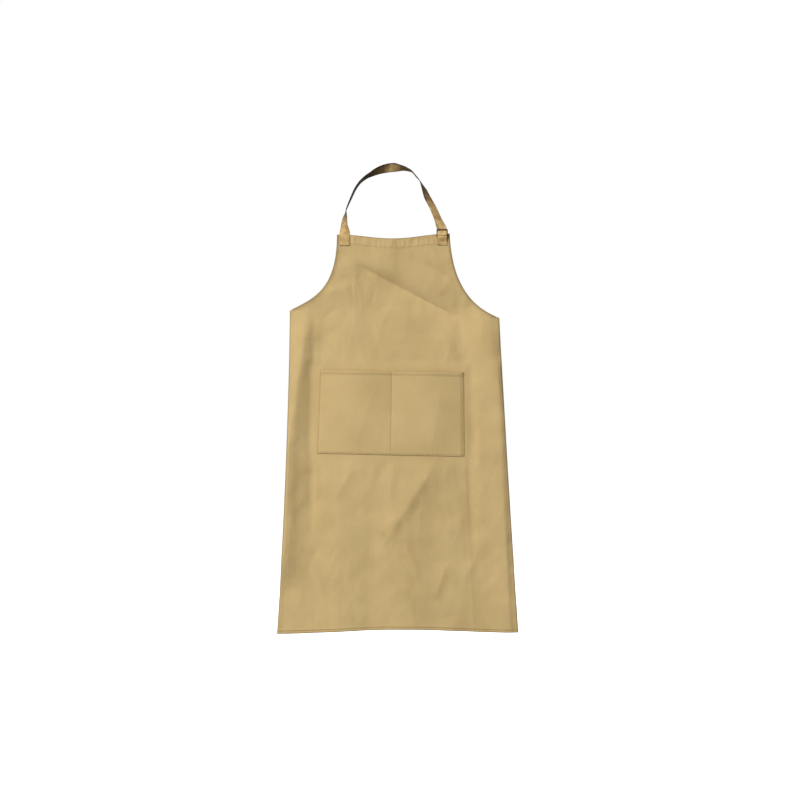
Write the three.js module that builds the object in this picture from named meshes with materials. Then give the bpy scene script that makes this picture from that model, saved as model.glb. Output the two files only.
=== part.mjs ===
// Bib apron, held up by its neck strap as when it is worn.
// Millimetres, +Z up, the front faces -Y.
// The origin is on the strap's inner face, at the back of the neck.

import * as THREE from 'three';

// Cloth thicknesses and the clearance between pieces
const CLOTH = 1.4;
const TURNED_CLOTH = 2.6;
const POCKET_CLOTH = 1.2;
const POCKET_TURNED = 1.8;
const STRAP_CLOTH = 1.4;
const TAB_CLOTH = 1.2;
const CLEARANCE = 0.5;

// Outline of the body: [x, z] of each corner, and of the two handles that bend each armhole
const OUTLINE = {
  left: {
    bibCorner: [-127.8, -169],
    bibHandle: [-128, -305],
    underarmHandle: [-189, -321],
    underarm: [-238.7, -347.7],
    footCorner: [-269.5, -1109],
    sideBow: 5.5,
  },
  right: {
    bibCorner: [137.5, -166.5],
    bibHandle: [142.7, -314],
    underarmHandle: [217, -350],
    underarm: [254.4, -365],
    footCorner: [299.5, -1106],
    sideBow: -2,
  },
};
const TOP_SAG = 10.5;
const FOOT_RISE = 9;

// Turned hems, as shares of the armhole's run, of the panel's width and of the side's run
const TOP_HEM_SHARE = 0.058;
const SIDE_HEM_SHARE = 0.018;
const FOOT_HEM_SHARE = 0.011;
const HEM_STEP_SHARE = 0.006;
const ARMHOLE_ROWS = 17;
const SIDE_ROWS = 32;
const BODY_COLUMNS = 33;

// How the cloth rounds the wearer: a bulged front, and side panels that bend forward a little
const FRONT_DEPTH = -110;
const BELLY = 6;
const FRONT_HALF = 172;
const FRONT_BULGE = 7;
const PANEL_BEND = 25;
const PANEL_LEAN = { left: -0.1, right: -0.1 };

// Folds: the line that each one follows in x and z, how far it goes back (or forward, if
// negative), how wide it is to the left and to the right of its line's direction, and how
// crisp it is if it isn't a soft fold (1 for a sharp crease, 2 for a round one)
const FOLDS = [
  { name: 'bib drag line', from: [-106, -227], to: [178, -375], depth: 13, left: 14, right: 66, crisp: 1.1 },
  { name: 'bib drag slope', from: [-40, -248], to: [226, -392], depth: 7, left: 80, right: 110, crisp: 1.2 },
  { name: 'bib dent', from: [40, -212], to: [142, -276], depth: 3.4, left: 10, right: 30, crisp: 1.2 },
  { name: 'left armhole gape', from: [-256, -334], to: [-70, -286], depth: -4, left: 14, right: 36 },
  { name: 'left panel ridge, high', from: [-192, -330], to: [-249, -720], depth: -12, left: 26, right: 24 },
  { name: 'left panel ridge, low', from: [-240, -625], to: [-257, -1010], depth: -13, left: 26, right: 24 },
  { name: 'left edge turn', from: [-243, -300], to: [-265, -1010], depth: 7, left: 13, right: 14 },
  { name: 'left pressed valley', from: [-184, -385], to: [-190, -920], depth: 2.5, left: 14, right: 12 },
  { name: 'right pressed valley, high', from: [150, -290], to: [182, -560], depth: 5, left: 16, right: 24 },
  { name: 'right pressed valley, low', from: [176, -440], to: [198, -1180], depth: 3, left: 16, right: 16 },
  { name: 'right panel ridge', from: [242, -350], to: [284, -1200], depth: -8, left: 13, right: 48 },
  { name: 'right edge turn', from: [256, -322], to: [290, -1060], depth: 3, left: 10, right: 9 },
  { name: 'right underarm turn', from: [254, -310], to: [257, -480], depth: 6, left: 12, right: 19 },
  { name: 'left skirt ridge', from: [-118, -705], to: [-134, -1270], depth: -3, left: 34, right: 30 },
  { name: 'left skirt valley', from: [-46, -720], to: [-52, -1270], depth: 2.4, left: 34, right: 30 },
  { name: 'middle skirt ridge', from: [40, -715], to: [30, -1270], depth: -2.6, left: 36, right: 32 },
  { name: 'right skirt valley', from: [96, -730], to: [112, -1270], depth: 2.6, left: 30, right: 32 },
  { name: 'pocket drag line', from: [114, -690], to: [-26, -908], depth: -4.2, left: 17, right: 44, crisp: 1.2 },
];
const FOLD_FADE = 0.22;
const SOFT_FOLD = 1.7;

// Patch pocket: [x, z] of its corners, its two gaping halves and its turned top
const POCKET = {
  topLeft: [-167.7, -487.7],
  topRight: [170, -493.5],
  bottomLeft: [-174.7, -683.5],
  bottomRight: [171.3, -691],
};
const POCKET_GAPE = 7;
const POCKET_HEM_SHARE = 0.045;
const POCKET_STEP_SHARE = 0.02;
const POCKET_ROWS = 11;
const POCKET_COLUMNS = 20;
const POCKET_FLAT_MARGIN = 28;

// Slide buckle: a rounded frame with three bars, at heights from the frame's middle
const BUCKLE_CENTRE = { x: 119.5, z: -166.5 };
const BUCKLE_WIDTH = 26.6;
const BUCKLE_SIDE_BAR = 1.6;
const BUCKLE_BAR = 2;
const BUCKLE_BARS = { top: 9, middle: -3, lowest: -9 };
const BUCKLE_CORNER = 2;
const BUCKLE_BEVEL = 0.3;
const BUCKLE_THICK = 1.8;
const BUCKLE_STAND_OFF = 3.6;

// Tab: a strip folded over the buckle's lowest bar and sewn on the bib's front
const TAB_WIDTH = 22.4;
const TAB_REACH = 26.5;
const TAB_SEWN_TOP = -16;

// Neck strap: where its middle runs, and which way one edge points from there
const STRAP_WIDTH = 22;
const SEWN_END = { x: -109.6, low: -195.5, high: -165, width: 24.4 };
const STRAP_RUN = [
  { name: 'lifting off the bib', at: [-110.8, -106, -149], edge: [-0.72, 0.69, 0] },
  { name: 'turning', at: [-109.7, -100.5, -127.5], edge: [-0.45, 0.9, 0] },
  { name: 'edge on', at: [-107.4, -94.5, -112.7], edge: [0, 1, 0] },
  { name: 'left of the neck', at: [-94.3, -77, -78], edge: [0.1, 1, -0.05] },
  { name: 'rising', at: [-84, -62, -55], edge: [0.11, 1, -0.06] },
  { name: 'coming round', at: [-70.8, -46, -36], edge: [0.1, 1, -0.1] },
  { name: 'left nape', at: [-53, -28, -20.8], edge: [0.16, 1, -0.23] },
  { name: 'left of the top', at: [-27.5, -9, -6.8], edge: [0.22, 0.66, -0.71] },
  { name: 'top', at: [0, STRAP_CLOTH / 2, 0], edge: [0, 0.1, -1] },
  { name: 'right of the top', at: [25.2, -8, -1.4], edge: [-0.08, 0.9, -0.4] },
  { name: 'right nape', at: [44.3, -26, -9.2], edge: [0, 1, -0.03] },
  { name: 'going down', at: [58.5, -43, -25], edge: [0, 1, 0] },
  { name: 'right of the neck', at: [70.2, -57, -41], edge: [0.06, 1, 0.04] },
  { name: 'turning to the front', at: [77, -68, -56], edge: [0.33, 0.9, 0.16] },
  { name: 'half turned', at: [86.2, -82, -80.9], edge: [0.6, 0.74, 0.28] },
  { name: 'facing front', at: [98.6, -95, -105.8], edge: [0.63, 0.7, 0.3] },
  { name: 'above the buckle', at: [110, -103.5, -133.6], edge: [0.72, 0.6, 0.3] },
];
const STRAP_TAIL = 26;
const RUN_STEPS = 4;
const BUCKLE_STEPS = 2;
const BAR_TURN_STEPS = 5;

// Colours and finishes
const CLOTH_FINISH = { color: 0xc1a673, roughness: 0.92, metalness: 0 };
const STRAP_FINISH = { color: 0xb99c69, roughness: 0.92, metalness: 0 };
const BUCKLE_FINISH = { color: 0x4a3826, roughness: 0.45, metalness: 0.7 };

// Small helpers

const lerp = THREE.MathUtils.lerp;
const smooth = (t) => THREE.MathUtils.smoothstep(t, 0, 1);
const swell = (share) => Math.sin(Math.PI * share) ** 2;

function spread(from, to, count) {
  return Array.from({ length: count }, (_, i) => lerp(from, to, i / (count - 1)));
}

// Two faces of equal rows and columns become one closed cloth wall.
// Row direction times column direction gives the way that the front face points.
function clothWall(front, back) {
  const rows = front.length;
  const columns = front[0].length;
  const points = [...front.flat(), ...back.flat()];
  const frontAt = (r, c) => r * columns + c;
  const backAt = (r, c) => rows * columns + r * columns + c;
  const triangles = [];
  const quad = (a, b, c, d) => triangles.push(a, b, c, a, c, d);

  for (let r = 0; r + 1 < rows; r += 1) {
    for (let c = 0; c + 1 < columns; c += 1) {
      quad(frontAt(r, c), frontAt(r + 1, c), frontAt(r + 1, c + 1), frontAt(r, c + 1));
      quad(backAt(r, c), backAt(r, c + 1), backAt(r + 1, c + 1), backAt(r + 1, c));
    }
  }
  const lastRow = rows - 1;
  const lastColumn = columns - 1;
  for (let r = 0; r < lastRow; r += 1) {
    quad(frontAt(r, 0), backAt(r, 0), backAt(r + 1, 0), frontAt(r + 1, 0));
    const s = r + 1;
    quad(frontAt(r, lastColumn), frontAt(s, lastColumn), backAt(s, lastColumn), backAt(r, lastColumn));
  }
  for (let c = 0; c < lastColumn; c += 1) {
    quad(frontAt(0, c), frontAt(0, c + 1), backAt(0, c + 1), backAt(0, c));
    quad(frontAt(lastRow, c), backAt(lastRow, c), backAt(lastRow, c + 1), frontAt(lastRow, c + 1));
  }

  const geometry = new THREE.BufferGeometry();
  geometry.setFromPoints(points);
  geometry.setIndex(triangles);
  geometry.computeVertexNormals();
  return geometry;
}

// A strip of cloth along a list of { at, edge, ahead, width } stations
function clothStrip(stations, thick) {
  const face = (side) => stations.map(({ at, edge, ahead, width }) => {
    const across = edge.clone().addScaledVector(ahead, -edge.dot(ahead)).normalize();
    const outward = new THREE.Vector3().crossVectors(ahead, across);
    return [-1, 1].map((end) => at.clone()
      .addScaledVector(across, (end * width) / 2)
      .addScaledVector(outward, (side * thick) / 2));
  });
  return clothWall(face(1), face(-1));
}

function clothMesh(name, geometry, finish) {
  const mesh = new THREE.Mesh(geometry, new THREE.MeshStandardMaterial(finish));
  mesh.name = name;
  return mesh;
}

// The body's front face

function foldDepth(fold, x, z) {
  const along = new THREE.Vector2(fold.to[0] - fold.from[0], fold.to[1] - fold.from[1]);
  const length = along.length();
  along.normalize();
  const offset = new THREE.Vector2(x - fold.from[0], z - fold.from[1]);
  const share = offset.dot(along) / length;
  const aside = along.cross(offset);
  const width = aside > 0 ? fold.left : fold.right;
  const ends = smooth(share / FOLD_FADE) * smooth((1 - share) / FOLD_FADE);
  return fold.depth * ends * Math.exp(-((Math.abs(aside) / width) ** (fold.crisp ?? SOFT_FOLD)));
}

// 1 clear of the pocket, falling to 0 where the pocket keeps the cloth flat
function clearOfPocket(x, z) {
  const left = Math.min(POCKET.topLeft[0], POCKET.bottomLeft[0]);
  const right = Math.max(POCKET.topRight[0], POCKET.bottomRight[0]);
  const low = Math.min(POCKET.bottomLeft[1], POCKET.bottomRight[1]);
  const high = Math.max(POCKET.topLeft[1], POCKET.topRight[1]);
  const away = Math.max(left - x, x - right, low - z, z - high);
  return smooth(away / POCKET_FLAT_MARGIN);
}

function frontDepth(x, z) {
  const top = OUTLINE.left.bibCorner[1];
  const foot = OUTLINE.left.footCorner[1];
  const past = Math.max(0, Math.abs(x) - FRONT_HALF);
  const lean = x < 0 ? PANEL_LEAN.left : PANEL_LEAN.right;
  let depth = FRONT_DEPTH - BELLY * swell((z - top) / (foot - top));
  depth += FRONT_BULGE * (x / FRONT_HALF) ** 2;
  depth += (lean * past * past) / (past + PANEL_BEND);
  const folds = FOLDS.reduce((sum, fold) => sum + foldDepth(fold, x, z), 0);
  return depth + folds * clearOfPocket(x, z);
}

// Apron body

const armhole = (side) => new THREE.CubicBezierCurve(
  new THREE.Vector2(...side.bibCorner),
  new THREE.Vector2(...side.bibHandle),
  new THREE.Vector2(...side.underarmHandle),
  new THREE.Vector2(...side.underarm),
);

// A point of the body's edge: run 0 to 1 goes down the armhole, 1 to 2 down the side
function edgePoint(side, run) {
  if (run <= 1) {
    return armhole(side).getPoint(run);
  }
  const share = run - 1;
  const point = new THREE.Vector2(...side.underarm).lerp(new THREE.Vector2(...side.footCorner), share);
  point.x += 4 * side.sideBow * share * (1 - share);
  return point;
}

function bodyPoint(share, run) {
  const point = edgePoint(OUTLINE.left, run).lerp(edgePoint(OUTLINE.right, run), share);
  point.y -= TOP_SAG * swell(share) * smooth(1 - run);
  point.y += FOOT_RISE * swell(share) * smooth(2 * run - 3);
  return point;
}

function makeApronBody() {
  const topHem = [0, TOP_HEM_SHARE / 2, TOP_HEM_SHARE, TOP_HEM_SHARE + HEM_STEP_SHARE];
  const footHem = [2 - FOOT_HEM_SHARE - HEM_STEP_SHARE, 2 - FOOT_HEM_SHARE, 2];
  const sideHem = [0, SIDE_HEM_SHARE, SIDE_HEM_SHARE + HEM_STEP_SHARE];
  const armholeRuns = spread(topHem.at(-1), 1, ARMHOLE_ROWS).slice(1);
  const sideRuns = spread(1, footHem[0], SIDE_ROWS).slice(1, -1);
  const runs = [...topHem, ...armholeRuns, ...sideRuns, ...footHem];
  const middle = spread(sideHem.at(-1), 1 - sideHem.at(-1), BODY_COLUMNS).slice(1, -1);
  const shares = [...sideHem, ...middle, ...sideHem.map((share) => 1 - share).reverse()];

  const isTurned = (share, run) => run <= TOP_HEM_SHARE || run >= 2 - FOOT_HEM_SHARE
    || share <= SIDE_HEM_SHARE || share >= 1 - SIDE_HEM_SHARE;
  const front = runs.map((run) => shares.map((share) => {
    const { x, y: z } = bodyPoint(share, run);
    return new THREE.Vector3(x, frontDepth(x, z), z);
  }));
  const back = runs.map((run, r) => shares.map((share, c) => {
    const thick = isTurned(share, run) ? TURNED_CLOTH : CLOTH;
    return front[r][c].clone().add(new THREE.Vector3(0, thick, 0));
  }));
  return clothMesh('apron_body', clothWall(front, back), CLOTH_FINISH);
}

// Pocket

function pocketPoint(across, down) {
  const between = (from, to) => new THREE.Vector2(...from).lerp(new THREE.Vector2(...to), across);
  const upper = between(POCKET.topLeft, POCKET.topRight);
  const lower = between(POCKET.bottomLeft, POCKET.bottomRight);
  return upper.lerp(lower, down);
}

function makePocket() {
  const topHem = [0, POCKET_HEM_SHARE, POCKET_HEM_SHARE + POCKET_STEP_SHARE];
  const downs = [...topHem, ...spread(topHem.at(-1), 1, POCKET_ROWS).slice(1)];
  const acrosses = spread(0, 1, POCKET_COLUMNS + 1);

  const back = downs.map((down) => acrosses.map((across) => {
    const { x, y: z } = pocketPoint(across, down);
    const gape = POCKET_GAPE * Math.abs(Math.sin(2 * Math.PI * across)) * Math.cos((Math.PI * down) / 2);
    return new THREE.Vector3(x, frontDepth(x, z) - CLEARANCE - gape, z);
  }));
  const front = downs.map((down, r) => acrosses.map((_, c) => {
    const thick = down <= POCKET_HEM_SHARE ? POCKET_TURNED : POCKET_CLOTH;
    return back[r][c].clone().add(new THREE.Vector3(0, -thick, 0));
  }));
  return clothMesh('pocket', clothWall(front, back), CLOTH_FINISH);
}

// Buckle corner: a frame at the buckle's middle, turned to the bib's slope there

function bibSlope(x, z) {
  const reach = STRAP_WIDTH / 2;
  return (frontDepth(x + reach, z) - frontDepth(x - reach, z)) / (2 * reach);
}

function makeBuckleCorner() {
  const corner = new THREE.Group();
  const { x, z } = BUCKLE_CENTRE;
  corner.position.set(x, frontDepth(x, z) - BUCKLE_STAND_OFF, z);
  corner.rotation.z = Math.atan(bibSlope(x, z));
  corner.updateMatrixWorld(true);
  return corner;
}

function roundedRectangle(path, width, height, radius) {
  const right = width / 2;
  const top = height / 2;
  path.moveTo(right - radius, -top);
  path.absarc(right - radius, -top + radius, radius, -Math.PI / 2, 0);
  path.absarc(right - radius, top - radius, radius, 0, Math.PI / 2);
  path.absarc(-right + radius, top - radius, radius, Math.PI / 2, Math.PI);
  path.absarc(-right + radius, -top + radius, radius, Math.PI, 1.5 * Math.PI);
  return path;
}

function makeSlideBuckle() {
  const { top, middle, lowest } = BUCKLE_BARS;
  const height = top - lowest + BUCKLE_BAR;
  const inner = (size) => size - 2 * BUCKLE_BEVEL;
  const outline = roundedRectangle(new THREE.Shape(), inner(BUCKLE_WIDTH), inner(height), BUCKLE_CORNER);
  const windowWidth = BUCKLE_WIDTH - 2 * BUCKLE_SIDE_BAR + 2 * BUCKLE_BEVEL;
  for (const [low, high] of [[lowest, middle], [middle, top]]) {
    const windowHeight = high - low - BUCKLE_BAR + 2 * BUCKLE_BEVEL;
    const opening = roundedRectangle(new THREE.Path(), windowWidth, windowHeight, BUCKLE_CORNER / 3);
    const rise = new THREE.Vector2(0, (low + high) / 2);
    outline.holes.push(new THREE.Path(opening.getPoints(2).map((point) => point.add(rise))));
  }
  const geometry = new THREE.ExtrudeGeometry(outline, {
    depth: BUCKLE_THICK - 2 * BUCKLE_BEVEL,
    curveSegments: 4,
    bevelThickness: BUCKLE_BEVEL,
    bevelSize: BUCKLE_BEVEL,
    bevelSegments: 1,
  });
  geometry.translate(0, 0, -BUCKLE_THICK / 2 + BUCKLE_BEVEL);
  geometry.rotateX(Math.PI / 2);
  return clothMesh('slide_buckle', geometry, BUCKLE_FINISH);
}

// Stations along a list of control points, with the way ahead taken from the curve
function stationsAlong(controls, stepsAt) {
  const curve = new THREE.CatmullRomCurve3(controls.map((control) => control.at));
  const last = controls.length - 1;
  const stations = [];
  controls.forEach((control, i) => {
    const steps = i < last ? stepsAt(i) : 1;
    for (let step = 0; step < steps; step += 1) {
      const share = (i + step / steps) / last;
      const next = controls[Math.min(i + 1, last)];
      stations.push({
        at: curve.getPoint(share),
        ahead: curve.getTangent(share),
        edge: control.edge.clone().lerp(next.edge, step / steps),
        width: lerp(control.width, next.width, step / steps),
      });
    }
  });
  return stations;
}

// Control points on a half turn round a bar, in the buckle's own frame
function barTurn(barZ, radius, fromAngle, toAngle, ribbon) {
  return spread(fromAngle, toAngle, BAR_TURN_STEPS).map((angle) => ({
    at: new THREE.Vector3(0, radius * Math.cos(angle), barZ + radius * Math.sin(angle)),
    ...ribbon,
  }));
}

function makeBuckleTab() {
  const ribbon = { edge: new THREE.Vector3(-1, 0, 0), width: TAB_WIDTH };
  const radius = BUCKLE_THICK / 2 + CLEARANCE + TAB_CLOTH / 2;
  const backLeg = BUCKLE_STAND_OFF - CLEARANCE - TAB_CLOTH / 2;
  const frontLeg = backLeg - TAB_CLOTH - CLEARANCE;
  const onLeg = (y, z) => ({ at: new THREE.Vector3(0, y, z), ...ribbon });
  const controls = [
    onLeg(backLeg, -TAB_REACH),
    onLeg(backLeg, TAB_SEWN_TOP),
    ...barTurn(BUCKLE_BARS.lowest, radius, 0, Math.PI, ribbon),
    onLeg(frontLeg, TAB_SEWN_TOP),
    onLeg(frontLeg, -TAB_REACH),
  ];
  const strip = clothStrip(stationsAlong(controls, () => BUCKLE_STEPS), TAB_CLOTH);
  return clothMesh('buckle_tab', strip, STRAP_FINISH);
}

// Neck strap

function sewnEndControls() {
  const { x, low, high, width } = SEWN_END;
  return [low, (low + high) / 2, high].map((z) => ({
    at: new THREE.Vector3(x, frontDepth(x, z) - CLEARANCE - STRAP_CLOTH / 2, z),
    edge: new THREE.Vector3(-1, -bibSlope(x, z), 0),
    width,
  }));
}

// The strap goes behind the top bar, over the middle bar and back up behind itself
function buckleControls(corner, run) {
  const ribbon = { edge: new THREE.Vector3(1, 0, 0), width: STRAP_WIDTH };
  const radius = BUCKLE_THICK / 2 + CLEARANCE + STRAP_CLOTH / 2;
  const layer = STRAP_CLOTH + CLEARANCE;
  const underTopBar = BUCKLE_BARS.top - BUCKLE_BAR / 2;
  const inCorner = [
    { at: new THREE.Vector3(0, radius + CLEARANCE, underTopBar), ...ribbon },
    ...barTurn(BUCKLE_BARS.middle, radius, Math.PI, 2 * Math.PI, ribbon),
    { at: new THREE.Vector3(0, radius + CLEARANCE + layer, underTopBar), ...ribbon },
  ];
  const turned = new THREE.Matrix4().extractRotation(corner.matrixWorld);
  const pass = inCorner.map((control) => ({
    at: control.at.clone().applyMatrix4(corner.matrixWorld),
    edge: control.edge.clone().applyMatrix4(turned),
    width: control.width,
  }));
  const above = run.at(-1);
  const passed = pass.at(-1).at;
  const tail = above.at.clone().add(new THREE.Vector3(0, layer, 0)).sub(passed);
  tail.setLength(STRAP_TAIL).add(passed);
  return [...pass, { ...above, at: tail }];
}

function makeNeckStrap(corner) {
  const run = STRAP_RUN.map(({ at, edge }) => ({
    at: new THREE.Vector3(...at),
    edge: new THREE.Vector3(...edge),
    width: STRAP_WIDTH,
  }));
  const openRun = [...sewnEndControls(), ...run];
  const controls = [...openRun, ...buckleControls(corner, run)];
  const stepsAt = (interval) => (interval < openRun.length ? RUN_STEPS : BUCKLE_STEPS);
  const strip = clothStrip(stationsAlong(controls, stepsAt), STRAP_CLOTH);
  return clothMesh('neck_strap', strip, STRAP_FINISH);
}

// Assembly

const apron = new THREE.Group();
const buckleCorner = makeBuckleCorner();
buckleCorner.add(makeSlideBuckle(), makeBuckleTab());
apron.add(makeApronBody(), makePocket(), makeNeckStrap(buckleCorner), buckleCorner);

export default apron;
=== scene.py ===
"""Bib apron: its cloth, pocket, neck strap, buckle and stitches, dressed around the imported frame."""

import logging
import math
from dataclasses import dataclass, field
from enum import Enum
from typing import Any, Sequence

import bpy
import numpy as np
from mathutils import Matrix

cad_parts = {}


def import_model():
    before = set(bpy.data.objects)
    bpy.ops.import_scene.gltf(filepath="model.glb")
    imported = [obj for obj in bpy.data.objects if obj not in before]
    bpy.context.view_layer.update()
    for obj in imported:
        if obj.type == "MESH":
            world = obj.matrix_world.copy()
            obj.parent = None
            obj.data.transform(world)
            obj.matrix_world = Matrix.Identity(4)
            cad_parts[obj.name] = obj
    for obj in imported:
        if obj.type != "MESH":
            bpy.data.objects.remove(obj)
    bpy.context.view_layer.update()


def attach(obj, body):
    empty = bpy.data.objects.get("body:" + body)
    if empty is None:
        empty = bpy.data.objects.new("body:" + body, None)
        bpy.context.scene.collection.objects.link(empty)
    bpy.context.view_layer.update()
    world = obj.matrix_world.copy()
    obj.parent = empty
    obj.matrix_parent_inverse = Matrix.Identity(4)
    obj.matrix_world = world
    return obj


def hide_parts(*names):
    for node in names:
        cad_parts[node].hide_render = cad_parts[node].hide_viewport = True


LOG = logging.getLogger("bib_apron")

# Sizes are in millimetres, as in the part's source, and meshes are made in metres
MM = 0.001

Pair = tuple[float, float]
Triple = tuple[float, float, float]
ScreenColour = tuple[int, int, int]
ShaderColour = tuple[float, float, float, float]

FRONT_WAY: Triple = (0.0, -1.0, 0.0)
WHITE: ShaderColour = (1.0, 1.0, 1.0, 1.0)


class Slot(Enum):
    """The record's material slots, whose names the builders take but do not use."""

    TWILL = "cotton_twill"
    STRAP = "strap_cloth"


class Mark(Enum):
    """Named amounts of painted shade on a cloth's points, from 0 to 1, which its finish reads."""

    # Painted shade along rims, rolled armholes and seam grooves, where the cloth turns from the light
    EDGE = "edge"
    # Painted shade along the strap, darkest where it lies edge-on in shade
    WORN = "worn"


# Small maths


def smooth(t: Any) -> np.ndarray:
    """Ease from 0 to 1 as t goes from 0 to 1."""
    t = np.clip(t, 0.0, 1.0)
    return t * t * (3.0 - 2.0 * t)


def swell(share: Any) -> np.ndarray:
    """Rise from 0 to 1 and fall back as share goes from 0 to 1."""
    return np.sin(np.pi * np.asarray(share)) ** 2


def bump(distance: Any, width: float) -> np.ndarray:
    """A soft bell of height 1 that falls off over a width."""
    return np.exp(-((np.asarray(distance) / width) ** 2))


def unit(vectors: np.ndarray) -> np.ndarray:
    """Vectors of length 1 along the last axis."""
    return vectors / np.linalg.norm(vectors, axis=-1, keepdims=True)


def square_to(vectors: np.ndarray, ahead: np.ndarray) -> np.ndarray:
    """Unit vectors, turned row by row until they are square to the ways ahead."""
    return unit(vectors - ahead * np.sum(vectors * ahead, axis=1, keepdims=True))


def travelled(path: np.ndarray) -> np.ndarray:
    """Distances along a path of points, from 0 at its start."""
    return np.concatenate([[0.0], np.cumsum(np.linalg.norm(np.diff(path, axis=0), axis=1))])


def read_off(where: np.ndarray, places: np.ndarray, rows: np.ndarray) -> np.ndarray:
    """Rows of numbers that are given at places, read off in between."""
    return np.stack([np.interp(where, places, column) for column in rows.T], axis=1)


def curve_through(points: np.ndarray, shares: np.ndarray) -> np.ndarray:
    """Points on the smooth curve through all the given ones.

    Args:
        points: The points that the curve passes through.
        shares: Places on the curve, from 0 at its start to 1 at its end.

    Returns:
        A point for each share.
    """
    padded = np.concatenate([[2 * points[0] - points[1]], points, [2 * points[-1] - points[-2]]])
    place = np.clip(shares, 0.0, 1.0) * (len(points) - 1)
    span = np.minimum(place.astype(int), len(points) - 2)
    t = (place - span)[:, None]
    p0, p1, p2, p3 = (padded[span + k] for k in range(4))

    def gap(a: np.ndarray, b: np.ndarray) -> np.ndarray:
        """The square roots of the distances between points."""
        return np.sqrt(np.linalg.norm(b - a, axis=1, keepdims=True))

    d0, d1, d2 = gap(p0, p1), gap(p1, p2), gap(p2, p3)
    leave = ((p1 - p0) / d0 - (p2 - p0) / (d0 + d1) + (p2 - p1) / d1) * d1
    reach = ((p2 - p1) / d1 - (p3 - p1) / (d1 + d2) + (p3 - p2) / d2) * d1
    cubic = 2 * p1 - 2 * p2 + leave + reach
    square = -3 * p1 + 3 * p2 - 2 * leave - reach
    return ((cubic * t + square) * t + leave) * t + p1


# The noise repeats after so many cells, and a gain brings it to about -1 to 1
NOISE_CELLS = 64
NOISE_GAIN = 1.5


def gradient_noise(u: np.ndarray, v: np.ndarray, seed: int) -> np.ndarray:
    """Smooth noise from about -1 to 1, with one wave to each unit square.

    Args:
        u: First coordinates.
        v: Second coordinates.
        seed: Chooses the noise.

    Returns:
        The noise at each point.
    """
    turns = np.random.default_rng(seed).uniform(0.0, math.tau, (NOISE_CELLS, NOISE_CELLS))
    cell_u = np.floor(u).astype(int)
    cell_v = np.floor(v).astype(int)
    in_u = u - cell_u
    in_v = v - cell_v

    def corner(i: int, j: int) -> np.ndarray:
        """What one corner of each point's cell gives at the point."""
        turn = turns[(cell_u + i) % NOISE_CELLS, (cell_v + j) % NOISE_CELLS]
        return np.cos(turn) * (in_u - i) + np.sin(turn) * (in_v - j)

    low = corner(0, 0) + smooth(in_u) * (corner(1, 0) - corner(0, 0))
    high = corner(0, 1) + smooth(in_u) * (corner(1, 1) - corner(0, 1))
    return NOISE_GAIN * (low + smooth(in_v) * (high - low))


@dataclass(frozen=True)
class SeamRipple:
    """The uneven ripple that a seam draws into cloth: its wave lengths, their bends and their shares."""

    drift: float = 17.0
    wide: float = 2.1
    fine: float = 1.17
    swelling: float = 29.0
    wide_bend: float = 1.9
    fine_bend: float = 1.3
    main_share: float = 0.65
    slight_share: float = 0.35

    def height(self, along: np.ndarray, phase: Any) -> np.ndarray:
        """Heights of the ripple.

        Args:
            along: Distances along the seam.
            phase: Shifts the ripple, so that no two seams are alike.

        Returns:
            Heights from about -1 to 1.
        """
        drift = np.sin(along / self.drift + 2.0 * phase)
        wide = np.sin(along / self.wide + self.wide_bend * drift + phase)
        fine = np.sin(along / self.fine - self.fine_bend * drift + 3.0 * phase)
        swelling = self.main_share + self.slight_share * np.sin(along / self.swelling + 5.0 * phase)
        return (self.main_share * wide + self.slight_share * fine) * swelling


RIPPLE = SeamRipple()


# Mesh making


def make_object(name: str, points: np.ndarray, faces: Sequence[Sequence[int]]) -> bpy.types.Object:
    """Make a smooth-shaded mesh object.

    Args:
        name: The object's name.
        points: Corner points in millimetres, one row each.
        faces: Corner numbers of each face.

    Returns:
        The object, linked to the scene.
    """
    mesh = bpy.data.meshes.new(name)
    mesh.from_pydata((points * MM).tolist(), [], faces)
    mesh.validate()
    mesh.shade_smooth()
    made = bpy.data.objects.new(name, mesh)
    bpy.context.scene.collection.objects.link(made)
    return made


def grid_quads(numbers: np.ndarray) -> np.ndarray:
    """Quads over a grid of corner numbers, each going down a row first."""
    quads = (numbers[:-1, :-1], numbers[1:, :-1], numbers[1:, 1:], numbers[:-1, 1:])
    return np.stack(quads, axis=-1).reshape(-1, 4)


def make_cloth(
    name: str, front: np.ndarray, back: np.ndarray, marks: dict[Mark, np.ndarray]
) -> bpy.types.Object:
    """Close two faces of equal rows and columns into one cloth wall.

    Args:
        name: The object's name.
        front: Points of the face whose rows times columns point outwards.
        back: Points of the other face.
        marks: Amounts for the finish, as one grid for both faces.

    Returns:
        The cloth as an object.
    """
    rows, columns = front.shape[:2]
    ahead = np.arange(rows * columns).reshape(rows, columns)
    behind = ahead + rows * columns
    rim = np.concatenate([ahead[0, :-1], ahead[:-1, -1], ahead[-1, :0:-1], ahead[:0:-1, 0]])
    rim = np.append(rim, rim[0])
    edge = np.stack([rim, rim + rows * columns])
    faces = np.concatenate([grid_quads(ahead), grid_quads(behind)[:, ::-1], grid_quads(edge)[:, ::-1]])
    points = np.concatenate([front.reshape(-1, 3), back.reshape(-1, 3)])
    made = make_object(name, points, faces.tolist())
    for mark, grid in marks.items():
        layer = made.data.attributes.new(mark.value, "FLOAT", "POINT")
        layer.data.foreach_set("value", np.tile(grid.ravel(), 2).astype(np.float32))
    return made


def dress(piece: bpy.types.Object, material: bpy.types.Material) -> None:
    """Give a new piece its material, and let it ride on the apron.

    Args:
        piece: The new piece.
        material: The finish.
    """
    piece.data.materials.append(material)
    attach(piece, "root")
    LOG.info("%s: %d faces", piece.name, len(piece.data.polygons))


# Shader nodes


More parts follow.
